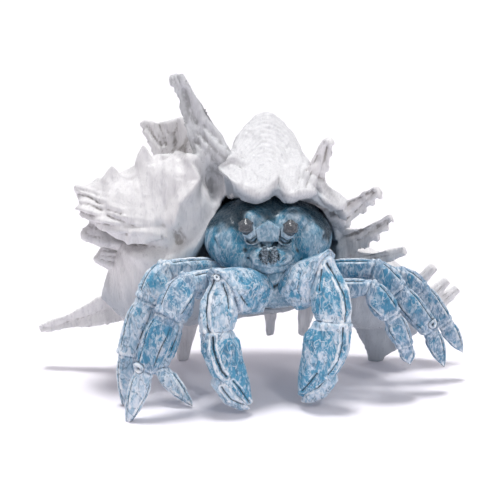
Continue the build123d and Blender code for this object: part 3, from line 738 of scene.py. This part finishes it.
def mottle(tree, size, stretch=(1, 1, 1), detail=3.0, roughness=0.55, swirl=0.0):
    """Noise with lumps of this size in mm, stretched along an axis where its number is below 1."""
    place = add_node(tree, "TexCoord")
    shape = add_node(tree, "Mapping", Scale=stretch)
    scale = 1 / (size * MM)
    cloud = add_node(tree, "TexNoise", Scale=scale, Detail=detail, Roughness=roughness, Distortion=swirl)
    tree.links.new(place.outputs["Object"], shape.inputs["Vector"])
    tree.links.new(shape.outputs["Vector"], cloud.inputs["Vector"])
    return cloud.outputs["Fac"]


def mask(tree, value, low, high, top=1.0):
    """0 where a value is below low, rising to the top above high."""
    ramp = add_node(tree, "MapRange", From_Min=low, From_Max=high, To_Max=top)
    ramp.interpolation_type = "SMOOTHSTEP"
    tree.links.new(value, ramp.inputs["Value"])
    return ramp.outputs["Result"]


def arithmetic(tree, operation, first, second=0.0):
    """A sum, product or other result of masks; a plain number may stand for a mask."""
    step = add_node(tree, "Math")
    step.operation = operation
    for socket, value in zip(step.inputs, (first, second)):
        if isinstance(value, float):
            socket.default_value = value
        else:
            tree.links.new(value, socket)
    return step.outputs["Value"]


def layered(tree, shader, coat, layers):
    """Lay colours over a coat, each where its mask is high. A mix node's colours are sockets 6, 7 and 2."""
    below = None
    for colour, where in layers:
        mix = add_node(tree, "Mix")
        mix.data_type = "RGBA"
        tree.links.new(where, mix.inputs[0])
        mix.inputs[6].default_value = (*coat, 1)
        if below:
            tree.links.new(below, mix.inputs[6])
        mix.inputs[7].default_value = (*colour, 1)
        below = mix.outputs[2]
    tree.links.new(below, shader.inputs["Base Color"])


def relief(tree, shader, height, depth, strength):
    """Fine relief that is too small to model, up to this depth in mm."""
    bump = add_node(tree, "Bump", Distance=depth * MM, Strength=strength)
    tree.links.new(height, bump.inputs["Height"])
    tree.links.new(bump.outputs["Normal"], shader.inputs["Normal"])


# %% [markdown]
# ## The white paint of the shell
# The shell is chalky white, with fine brush lines like wood grain that run up and down, a lilac-grey
# tone between the lines, and a thin brown-grey wash along rough edges that is also painted shade in
# pits, furrows and grooves. Inside the mouth, and in the other shaded places, a smooth blue-grey is
# painted shade. Noise that is stretched along Z makes the brush lines.

# %% Shell paint
CHALK = (0.83, 0.82, 0.825)
LILAC_SHADOW = (0.56, 0.55, 0.58)
# A brown-grey that is wash and painted shade in hollows, and a blue-grey that is painted shade
BROWN_WASH_AND_SHADE = (0.25, 0.225, 0.21)
SHADE_GREY = (0.40, 0.45, 0.50)

shell_paint, tree, shader = new_paint("chalky_white_paint")
brush_lines = mottle(tree, 2.2, (1, 1, 0.16), 5, 0.65, 0.5)
clouds = mottle(tree, 22, (1, 1, 0.6), 4)
pores = mottle(tree, 5, (1, 1, 0.5), 4, 0.65)
wash_and_shade = mask(tree, skin_number(tree, "wash_and_shade"), 0.2, 1.0, 0.75)
layers = [
    (LILAC_SHADOW, mask(tree, brush_lines, 0.50, 0.70, 0.55)),
    (LILAC_SHADOW, mask(tree, clouds, 0.52, 0.80, 0.3)),
    (LILAC_SHADOW, mask(tree, skin_number(tree, "ridge"), 0.5, 1.0, 0.2)),
    (BROWN_WASH_AND_SHADE, arithmetic(tree, "MULTIPLY", wash_and_shade, mask(tree, pores, 0.35, 0.60))),
    (SHADE_GREY, mask(tree, skin_number(tree, "painted_shade"), 0.1, 0.9, 0.95)),
]
layered(tree, shader, CHALK, layers)
tree.links.new(mask(tree, brush_lines, 0.2, 0.8, 0.9), shader.inputs["Roughness"])
relief(tree, shader, brush_lines, 0.9, 0.8)
print("shell paint nodes:", len(tree.nodes))

# %% [markdown]
# ## Cut the skin back into castings
# Every face goes to the casting that it lies nearest to. The outward directions are kept from the one
# skin, so that the light runs over the cuts and no seam shows.

# %% Cut the shell
def store(piece, name, values):
    """Keep one number per point on the mesh, under a name that a paint can read."""
    layer = piece.data.attributes.new(name, "FLOAT", "POINT")
    layer.data.foreach_set("value", np.clip(values, 0, 1).astype(np.float32))


def keep(piece, nodes, paint):
    """Paint a piece, and let it stand for its CAD nodes on the figurine's only body."""
    piece.data.materials.append(paint)
    piece.data.shade_smooth()
    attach(piece, "root")
    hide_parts(*nodes)


corners = np.empty(4 * len(shell.data.polygons), np.int32)
shell.data.loops.foreach_get("vertex_index", corners)
corners = corners.reshape(-1, 4)
face_owner = shell_owner[corners[:, 0]]
shell_normals = normals_of(shell)
for number, node in enumerate(shell_nodes):
    used, renumbered = np.unique(corners[face_owner == number], return_inverse=True)
    mesh = bpy.data.meshes.new(node + "_skin")
    mesh.from_pydata((shell_points[used] * MM).tolist(), [], renumbered.reshape(-1, 4).tolist())
    piece = add_object(node + "_skin", mesh)
    for name, values in paint_numbers.items():
        store(piece, name, values[used])
    keep(piece, [node], shell_paint)
    mesh.normals_split_custom_set_from_vertices(shell_normals[used].tolist())
bpy.data.objects.remove(shell)
print("shell pieces:", len(shell_nodes))

# %% [markdown]
# ## The blue paint of the crab
# Over a pale lilac-blue coat the painter brushed sky blue onto the middle of each sleeve and let it run
# out in streaks towards the ends. White touches the edges, partly dry brush and partly painted
# highlight, thin dark and white strokes wander over all of it, and a slate wash lies in the joints and
# lines, partly painted shade. Where the blue goes is stored on the mesh, and noise of two sizes frays
# it. The carapace is glossier and darker, the far legs more lilac and darker, partly as painted shade.

# %% Crab paints
SLATE_WASH_AND_SHADE = (0.012, 0.028, 0.042)
DRY_WHITE_AND_HIGHLIGHT = (0.90, 0.93, 0.96)
DEEP_BLUE = (0.03, 0.12, 0.22)
SHINE = 0.35


def strokes(tree, size, seed, width, top):
    """A mask of thin wandering brush strokes: where swirled noise passes through its middle."""
    swirl = mottle(tree, size, (1, 1, 0.45), 3, 0.5, 1.2)
    swirl.node.noise_dimensions = "4D"
    swirl.node.inputs["W"].default_value = seed
    distance = arithmetic(tree, "ABSOLUTE", arithmetic(tree, "SUBTRACT", swirl, 0.5))
    return mask(tree, distance, width, 0.2 * width, top)


def crab_paint(name, coat, middle, sky, white_share, rough_low):
    """A blue paint: its coat, a tone over it, its patches, the share of white and its lowest roughness."""
    paint, tree, shader = new_paint(name)
    sponge = mottle(tree, 7, (1, 1, 0.6), 5, 0.65, 0.6)
    flecks = mottle(tree, 1.6, (1, 1, 0.4), 4, 0.6, 0.4)
    dapple = mottle(tree, 3.0, (1, 1, 0.55), 4, 0.6, 0.8)
    frayed = arithmetic(tree, "ADD", sponge, flecks)
    patches = arithmetic(tree, "ADD", skin_number(tree, "blue"), frayed)
    ridge = mask(tree, skin_number(tree, "ridge"), 0.2, 0.9, white_share)
    layers = [
        (middle, mask(tree, sponge, 0.40, 0.64, 0.8)),
        (middle, mask(tree, dapple, 0.47, 0.60, 0.7)),
        (sky, mask(tree, patches, 1.36, 1.72, 0.92)),
        (SLATE_WASH_AND_SHADE, mask(tree, flecks, 0.42, 0.30, 0.3)),
        (DRY_WHITE_AND_HIGHLIGHT, mask(tree, dapple, 0.50, 0.38, 0.45 * white_share)),
        (DRY_WHITE_AND_HIGHLIGHT, mask(tree, flecks, 0.56, 0.70, 0.4 * white_share)),
        (DEEP_BLUE, strokes(tree, 9, 1.0, 0.035, 0.6 * white_share)),
        (DRY_WHITE_AND_HIGHLIGHT, strokes(tree, 8, 5.0, 0.024, 0.55 * white_share)),
        # White on the ridges is dry brush and painted highlight; the slate in the hollows is wash and painted
        # shade
        (DRY_WHITE_AND_HIGHLIGHT, arithmetic(tree, "MULTIPLY", ridge, mask(tree, flecks, 0.28, 0.55))),
        (SLATE_WASH_AND_SHADE, mask(tree, skin_number(tree, "wash_and_shade"), 0.25, 0.95, 0.92)),
    ]
    layered(tree, shader, coat, layers)
    shader.inputs["Specular IOR Level"].default_value = SHINE
    gloss = mask(tree, flecks, 0.3, 0.8, 0.6)
    gloss.node.inputs["To Min"].default_value = rough_low
    tree.links.new(gloss, shader.inputs["Roughness"])
    relief(tree, shader, flecks, 0.5, 0.6)
    return paint


limb_paint = crab_paint(
    "sky_blue_limb_paint", (0.62, 0.72, 0.83), (0.28, 0.47, 0.62), (0.055, 0.29, 0.47), 0.9, 0.26
)
# A darker lilac paint, partly painted shade, for legs that lie in the shell's shade
far_leg_shaded_paint = crab_paint(
    "lilac_blue_shaded_leg_paint", (0.38, 0.49, 0.62), (0.14, 0.28, 0.42), (0.05, 0.24, 0.40), 0.7, 0.30
)
carapace_paint = crab_paint(
    "glossy_blue_carapace_paint", (0.36, 0.50, 0.61), (0.13, 0.28, 0.40), (0.05, 0.23, 0.36), 0.42, 0.12
)
print("crab paints:", [paint.name for paint in (limb_paint, far_leg_shaded_paint, carapace_paint)])

# %% [markdown]
# ## Limbs
# A crab's limb is a chain of hard sleeves. Each sleeve is cut off squarely where it meets the next, with
# a raised collar there, long edges with a fine dark line along them, and an uneven skin. The distance
# to the cutting planes places the collars, and the sleeve's own grid of length and turn the edges.

# %% Sculpt one sleeve
LIMB_GRAIN = 0.6
# Lumps of the uneven skin, as (size, seed, height)
SKIN_LUMPS = [((5, 5, 8), 5.0, 0.4), (2.4, 9.0, 0.18)]
COLLAR_AT = 2.0
COLLAR_HEIGHT = 0.6
LINE_WIDTH = 1.4
LINE_DEPTH = 0.7
BANK_SHIFT = 1.9
BANK_HEIGHT = 0.4
SWELL = 1.1
# Round ends of the joints' pins, as (place, radius), and their reach to the front and the back
JOINT_KNOBS = [((-78, -88, 40), 3.4), ((135, -29, 55), 3.0), ((-23, -72, 100), 2.0)]
KNOB_REACH = 9
# How much more of the sky blue some sleeves have than the others
MORE_BLUE = {
    "left_leg_1_shin": -0.3, "left_leg_1_toe": -0.4, "left_leg_2_shin": 0.3, "left_leg_2_toe": -0.4,
    "left_leg_3_toe": -0.3, "right_leg_1_knee": 0.3, "left_claw_arm": 0.2, "left_claw_wrist": -0.1,
    "left_claw_palm": 0.5, "left_claw_finger": -0.7, "right_claw_wrist": 0.4, "right_claw_palm": 0.3,
    "right_claw_finger": -0.4,
}


def scratch(turn, radius, angle, width):
    """A mark of this width in mm along a limb, at an angle in degrees round from its front."""
    offset = np.angle(np.exp(1j * (turn - np.radians(angle))))
    return bell(offset * radius, width)


def antique_shade_and_highlight(piece, extra_wash_and_shade=0.0, extra_white_and_highlight=0.0, soak=0.35):
    """Store the wash and painted shade in the hollows, and the dry brush and painted highlight on the ridges,
    of a finished skin.
    """
    depth = depths(piece)
    store(piece, "wash_and_shade", wash_and_shade_in(depth, soak) + extra_wash_and_shade)
    store(piece, "ridge", fade(-depth, 0.3 * soak, 1.5 * soak) + extra_white_and_highlight)


def bisector(before, joint, after):
    """The direction of a limb where two sleeves meet: midway between theirs."""
    before, joint, after = (Vector(place) for place in (before, joint, after))
    return np.array(((joint - before).normalized() + (after - joint).normalized()).normalized())


def sleeve(node, path, ends, edges, paint, lines=()):
    """Sculpt and paint one sleeve: edges are angles round from its front, lines are drawn on the front."""
    piece = clay(node + "_skin", [node], LIMB_GRAIN, 5)
    points = points_of(piece)
    along, turn, radius, _ = limb_grid(points, path)
    skin = normals_of(piece)
    heights, wash_and_shade, dry_white_and_highlight = drawn(points, skin, lines)
    heights += sum(height * rough(points, size, seed) for size, seed, height in SKIN_LUMPS)
    body = np.ones(len(points))
    brushed = rough(points, (8, 8, 13), 13.0)
    dry_white_and_highlight *= 0.75 * fade(rough(points, (5, 5, 9), 15.0), -0.35, 0.2)
    for place, direction, sign in zip((path[0], path[-1]), ends, (1, -1)):
        if direction is None:
            continue
        gap = sign * (points - np.array(place)) @ direction
        side_wall = 1 - fade(np.abs(skin @ direction), 0.55, 0.85)
        body *= fade(gap, 3.5, 7)
        heights += COLLAR_HEIGHT * bell(gap - COLLAR_AT, 3.4)
        # Painted shade in the gap where two sleeves meet
        wash_and_shade = np.maximum(wash_and_shade, 0.8 * side_wall * bell(gap, 1.2))
        # White on the collar: dry brush and painted highlight
        dry_white_and_highlight = np.maximum(dry_white_and_highlight, 0.6 * bell(gap - COLLAR_AT, 2.0) * fade(brushed, -0.2, 0.3))
    heights += SWELL * np.sin(np.pi * along) * body
    for angle in edges:
        weave = angle + 8 * np.sin(4 * along + math.radians(angle))
        line = scratch(turn, radius, weave, LINE_WIDTH) * body
        heights -= np.minimum(LINE_DEPTH, 0.16 * radius) * line
        bank = np.degrees(BANK_SHIFT / np.maximum(radius, 2))
        for side in (-bank, bank):
            beside = scratch(turn, radius, weave + side, LINE_WIDTH) * body
            heights += BANK_HEIGHT * beside
            # Painted highlight, with dry brush, on the banks beside each edge line
            dry_white_and_highlight = np.maximum(dry_white_and_highlight, 0.5 * beside * fade(brushed, -0.15, 0.3))
        wash_and_shade = np.maximum(wash_and_shade, 0.7 * line * fade(rough(points, 7, angle), -0.7, -0.15))
    for place, size in JOINT_KNOBS:
        gap = np.hypot(points[:, 0] - place[0], points[:, 2] - place[2])
        shown = fade(-skin[:, 1], 0, 0.3) * (np.abs(points[:, 1] - place[1]) < KNOB_REACH)
        heights += shown * (1.1 * bell(gap - 0.65 * size, 0.7 * size) - 0.8 * bell(gap, 0.6 * size))
        wash_and_shade = np.maximum(wash_and_shade, shown * (0.8 * bell(gap - 1.15 * size, 0.4 * size) + bell(gap, 0.65 * size)))
        dry_white_and_highlight = np.maximum(dry_white_and_highlight, 0.8 * shown * bell(gap - 0.7 * size, 0.5 * size))
    push(piece, heights)
    antique_shade_and_highlight(piece, wash_and_shade, dry_white_and_highlight)
    store(piece, "blue", body * (0.5 + 0.85 * brushed + MORE_BLUE.get(node, 0)) - 0.5 * dry_white_and_highlight)
    keep(piece, [node], paint)


# %% [markdown]
# ## Walking legs
# Six legs show, three on each side, and each has four sleeves: thigh, knee, shin and toe. The sharpest
# edge is on the outer side, so it is on opposite sides of the left and the right legs. The right legs,
# and two sleeves of the left leg in front, have the darker lilac paint, which is partly painted shade.

# %% Walking legs
LEGS = {
    "left_leg_1": ((-20, -13, 94), (-61, -34, 99), (-75, -42, 77), (-89, -48, 38), (-91, -50, 0)),
    "left_leg_2": ((-15, -26, 90), (-44, -60, 96), (-59, -74, 74), (-74, -82, 37), (-86, -84, 0)),
    "left_leg_3": ((-21, -3, 80), (-46, -32, 80), (-54, -38, 61), (-66, -46, 27), (-43, -56, 3)),
    "right_leg_1": ((52, -28, 82), (87, -38, 86), (103, -39, 65), (114, -36, 41), (118, -34, 27)),
    "right_leg_2": ((52, -15, 93), (91, -22, 97), (109, -23, 80), (134, -22, 49), (145, -20, 21)),
    "right_leg_3": ((54, -3, 85), (112, 2, 86), (129, 5, 73), (149, 8, 46), (163, 10, 23)),
}
SLEEVES = ("thigh", "knee", "shin", "toe")
SHADED_LILAC_SLEEVES = ("left_leg_2_knee", "left_leg_2_shin")
LEG_EDGES = {"thigh": (70, -110), "knee": (64, -52, 160), "shin": (66, -42, 160), "toe": (62, -70, 165)}

for leg, joints in LEGS.items():
    outer = 1 if leg.startswith("left") else -1
    cuts = [None] + [bisector(*joints[k - 1 : k + 2]) for k in (1, 2, 3)] + [None]
    for number, part in enumerate(SLEEVES):
        node, ends = f"{leg}_{part}", slice(number, number + 2)
        paint = far_leg_shaded_paint if outer == -1 or node in SHADED_LILAC_SLEEVES else limb_paint
        sleeve(node, joints[ends], cuts[ends], [outer * angle for angle in LEG_EDGES[part]], paint)
print("leg sleeves:", len(LEGS) * len(SLEEVES))

# %% [markdown]
# ## Claws
# The two claws hang in front of the body. Each has an arm, a wrist, a palm that ends in a fixed finger,
# and a free finger that closes against it. A deep groove with a rounded bank runs down the outside of
# the wrist and the palm, and the fingers carry fine lines to their tips. These are drawn on the front.

# %% Claws
CLAWS = {
    "left_claw": {
        "arm": ((8, -34, 79), (-20, -61, 93)),
        "wrist": ((-20, -61, 93), (-24, -70, 62)),
        "palm": ((-24, -70, 62), (-21, -71, 52), (-16, -72, 36), (-6, -71, 20), (0, -69, 8)),
        "finger": ((-17, -72, 40), (-20, -72, 25), (-13, -72, 14), (-6, -70, 7), (-1, -68, 4)),
    },
    "right_claw": {
        "arm": ((30, -34, 79), (53, -50, 103)),
        "wrist": ((53, -50, 103), (60, -59, 66)),
        "palm": ((60, -59, 66), (55, -59, 51), (51, -59, 36), (42, -57, 20), (37, -54, 9)),
        "finger": ((54, -59, 38), (55, -59, 24), (50, -58, 14), (43, -56, 8), (38, -54, 5)),
    },
}
CLAW_LINES = {
    "left_claw_arm": [(((-9, 92), (-5, 83), (-2, 78)), 2.6, 0.9, 0.6)],
    "left_claw_wrist": [
        (((-26, 98), (-30, 88), (-31, 77), (-30, 67), (-28, 62)), 2.4, 1.6, 0.9),
        (((-19, 96), (-16, 88), (-15, 80)), 2.2, 0.9, 0.7),
    ],
    "left_claw_palm": [
        (((-26, 60), (-26, 53), (-23, 43), (-20, 36), (-17, 32)), 2.2, 1.5, 0.9),
        (((-12, 28), (-7, 21), (-2, 12), (0, 8)), 1.6, 0.7, 0.8),
    ],
    "left_claw_finger": [
        (((-16, 27), (-11, 19), (-5, 11), (0, 6)), 1.6, 0.8, 0.9),
        (((-20, 23), (-14, 14), (-4, 8)), 1.6, 0.8, 0.9),
    ],
    "right_claw_arm": [(((36, 100), (34, 88), (37, 80)), 2.4, 0.8, 0.5)],
    "right_claw_wrist": [
        (((55, 108), (62, 97), (67, 86), (69, 75), (68, 68)), 2.4, 1.6, 0.9),
        (((49, 90), (50, 97), (51, 104)), 2.2, 0.9, 0.7),
        (((54, 88), (56, 80), (60, 76)), 5.0, -0.9, 0),
    ],
    "right_claw_palm": [
        (((66, 64), (66, 53), (63, 40), (58, 32), (56, 29)), 2.2, 1.5, 0.9),
        (((48, 30), (43, 22), (38, 14)), 1.6, 0.8, 0.8),
    ],
    "right_claw_finger": [(((54, 24), (49, 18), (41, 13), (37, 11)), 1.6, 0.8, 0.9)],
}
CLAW_EDGES = {"arm": (-120,), "wrist": (-130, 160), "palm": (-140, 150), "finger": (110, 170)}

for claw, parts in CLAWS.items():
    outer = 1 if claw.startswith("left") else -1
    elbow = bisector(*parts["arm"], parts["wrist"][1])
    wrist = bisector(*parts["wrist"], parts["palm"][1])
    cuts = {"arm": (None, elbow), "wrist": (elbow, wrist), "palm": (wrist, None), "finger": (None, None)}
    for part, line in parts.items():
        node = f"{claw}_{part}"
        edges = [outer * angle for angle in CLAW_EDGES[part]]
        sleeve(node, line, cuts[part], edges, limb_paint, CLAW_LINES[node])
print("claw pieces:", sum(len(parts) for parts in CLAWS.values()))

# %% [markdown]
# ## Head and body
# The carapace is a smooth helmet with two bright brows and a swollen cheek on each side. A groove parts
# each cheek from the face, the eyes stand in sockets, soft folds hang below the mouth, and the top is
# painted dark where it goes under the shell's lip, partly darker paint and partly painted shade. Lines
# and dabs on the front make all of these.

# %% Carapace, body and face plate
FACE_LINES = [
    (((34, 128), (34, 116), (38, 106)), 7.0, 2.6, 0.35),
    (((-7, 132), (-6, 122), (-4, 108)), 7.0, 2.4, 0.35),
    (((-2, 108), (4, 103), (14, 101), (26, 103), (32, 108)), 3.0, 1.1, 0.35),
    (((5, 107), (10, 105), (16, 104), (22, 106), (26, 109)), 2.2, 0.8, 0.35),
    (((53, 122), (50, 110)), 2.4, 0.8, 0.3),
    (((-26, 119), (-19, 106)), 2.4, 0.8, 0.3),
    (((8, 119.5), (14, 119), (20, 120.5)), 2.0, 1.2, 0.9),
]
# Brows and cheek, the hollows between them, and the eye sockets
FACE_SPOTS = [((4, -34, 138), 17, 2.4), ((29, -34, 138), 15, 2.0), ((45, -30, 124), 28, 2.0)]
FACE_SPOTS += [((17, -34, 141), 11, -2.5), ((13, -38, 127), 24, -3.5)]
FACE_SPOTS += [((0, -40, 123), 14, -8.0), ((27, -40, 122), 14, -8.0)]
# The line, as (x, z), above which the carapace is painted dark: darker paint and painted shade under the lip
BROW_LINE = ((-36, 122), (-20, 128), (-10, 129), (-5, 133), (2, 141), (10, 139), (18, 135), (26, 142))
BROW_LINE += ((35, 141), (42, 134), (50, 127), (56, 118))
CHIN_LINE = [(((4, 94), (10, 88), (17, 86), (28, 92)), 3.0, 1.4, 0.5)]

carapace = clay("carapace_skin", ["carapace"], 0.8, 6)
points = points_of(carapace)
heights, wash_and_shade, dry_white_and_highlight = drawn(points, normals_of(carapace), FACE_LINES)
heights += dabs(points, FACE_SPOTS) + 0.5 * rough(points, 9, 21.0) + 0.2 * rough(points, 3, 25.0)
above = points[:, 2] - np.interp(points[:, 0], *zip(*BROW_LINE)) + 4 * rough(points, 6, 27.0)
dark_paint_and_shade = fade(above, -8, 5)
store(carapace, "blue", 0.5 + 0.8 * rough(points, (8, 8, 16), 23.0))
push(carapace, heights)
antique_shade_and_highlight(carapace, wash_and_shade + dark_paint_and_shade, dry_white_and_highlight, soak=0.4)
keep(carapace, ["carapace"], carapace_paint)

thorax = clay("thorax_skin", ["thorax"], 0.9, 5)
points = points_of(thorax)
heights, wash_and_shade, dry_white_and_highlight = drawn(points, normals_of(thorax), CHIN_LINE)
push(thorax, heights + 0.6 * rough(points, (7, 7, 4), 31.0))
antique_shade_and_highlight(thorax, wash_and_shade, dry_white_and_highlight)
keep(thorax, ["thorax"], carapace_paint)

plate = clay("face_plate_skin", ["face_plate"], 0.5, 4)
push(plate, 0.3 * rough(points_of(plate), 3, 35.0))
antique_shade_and_highlight(plate)
keep(plate, ["face_plate"], carapace_paint)
print("head points:", [len(piece.data.vertices) for piece in (carapace, thorax, plate)])

# %% [markdown]
# ## Mouth
# Two dark plates close the mouth, and a tuft of bristles hides their edges. Each bristle is a thin
# cone, and a seeded generator places them, so that the tuft is the same each time.

# %% Mouth bristles
BRISTLES = 150
BRISTLE_LENGTH = 3.2
BRISTLE_RADIUS = 0.4
BRISTLE_TIP = 0.1
TUFT_CENTRE = Vector((14, -44.5, 112))
TUFT_HALF = (7, 6)


def speckled_paint(name, tone, speck, specks_at, gloss, size, stretch=(1, 1, 1)):
    """A paint of one tone with specks of this size in mm; the masks of specks and gloss are given."""
    paint, tree, shader = new_paint(name)
    specks = mottle(tree, size, stretch)
    layered(tree, shader, tone, [(speck, mask(tree, specks, *specks_at))])
    tree.links.new(mask(tree, specks, *gloss), shader.inputs["Roughness"])
    return paint, shader


tones = (0.04, 0.06, 0.08), (0.30, 0.39, 0.46)
mouth_paint, _ = speckled_paint("dark_mouth_paint", *tones, (0.42, 0.66), (0.2, 0.8, 0.8), 1.5)

mouthparts = clay("mouthparts_skin", ["mouthparts"], 0.6, 3)
tuft = bmesh.new()
tuft.from_mesh(mouthparts.data)
dice = np.random.default_rng(4)
for _ in range(BRISTLES):
    spread, swing = math.sqrt(dice.random()), 2 * math.pi * dice.random()
    out, up = spread * math.cos(swing), spread * math.sin(swing)
    root = TUFT_CENTRE + Vector((TUFT_HALF[0] * out, 0, TUFT_HALF[1] * up))
    lean = Vector((0.5 * out, -1, 0.5 * up - 0.3)).normalized()
    radii = {"radius1": BRISTLE_RADIUS * MM, "radius2": BRISTLE_TIP * MM}
    cone = bmesh.ops.create_cone(tuft, cap_ends=True, segments=5, depth=BRISTLE_LENGTH * MM, **radii)
    bmesh.ops.rotate(tuft, verts=cone["verts"], matrix=lean.to_track_quat("Z", "Y").to_matrix())
    bmesh.ops.translate(tuft, verts=cone["verts"], vec=(root + lean * BRISTLE_LENGTH / 2) * MM)
tuft.to_mesh(mouthparts.data)
tuft.free()
keep(mouthparts, ["mouthparts"], mouth_paint)
print("bristles:", BRISTLES)

# %% [markdown]
# ## Eyes
# The eyes are dark grey glossy beads on short ringed stalks. Fine rings round the middle of each bead
# catch the light as the painted iris does.

# %% Eyes and stalks
EYES = {"left": ((6, -24, 114), (-3, -42, 132)), "right": ((22, -24, 114), (29, -42, 131))}
EYE_BACK = np.array((0, 8, -4))
EYE_RING, EYE_RING_HEIGHT = 1.5, 0.12
STALK_RING, STALK_RING_HEIGHT = 2.2, 0.25

tones = (0.05, 0.06, 0.072), (0.15, 0.16, 0.175)
eye_paint, shader = speckled_paint("dark_gloss_eye_paint", *tones, (0.45, 0.7), (0.1, 1.0, 0.3), 2.0)
shader.inputs["Coat Weight"].default_value = 0.6

for side, (root, centre) in EYES.items():
    eye = clay(f"{side}_eye_skin", [f"{side}_eye"], 0.4, 3)
    _, _, radius, _ = limb_grid(points_of(eye), (centre + EYE_BACK, centre - EYE_BACK))
    push(eye, EYE_RING_HEIGHT * np.cos(2 * np.pi * radius / EYE_RING))
    keep(eye, [f"{side}_eye"], eye_paint)
    stalk = clay(f"{side}_eyestalk_skin", [f"{side}_eyestalk"], 0.5, 3)
    along, _, _, length = limb_grid(points_of(stalk), (root, centre))
    push(stalk, STALK_RING_HEIGHT * np.cos(2 * np.pi * along * length / STALK_RING))
    # A dark band where the stalk leaves its socket is painted shade; the pale ring nearer the eye is paint
    antique_shade_and_highlight(stalk, extra_wash_and_shade=0.8 * bell(along - 0.62, 0.14), extra_white_and_highlight=0.5 * bell(along - 0.78, 0.3))
    keep(stalk, [f"{side}_eyestalk"], carapace_paint)
print("eyes:", list(EYES))

# %% [markdown]
# ## Steel pins
# Eight short six-sided pins join the limbs to the body. They stay hidden, so the CAD shape is kept, with
# the fine lines that steel has once it is drawn through a die.

# %% Steel pins
tones = (0.42, 0.42, 0.44), (0.62, 0.62, 0.63)
steel_paint, shader = speckled_paint("drawn_steel", *tones, (0.4, 0.7), (0.0, 1.0, 0.5), 1.2, (1, 1, 0.2))
shader.inputs["Metallic"].default_value = 1.0
pins = frame["nodes"]["limb_pins"]
pins.data.materials.clear()
pins.data.materials.append(steel_paint)
print("pin faces:", len(pins.data.polygons))
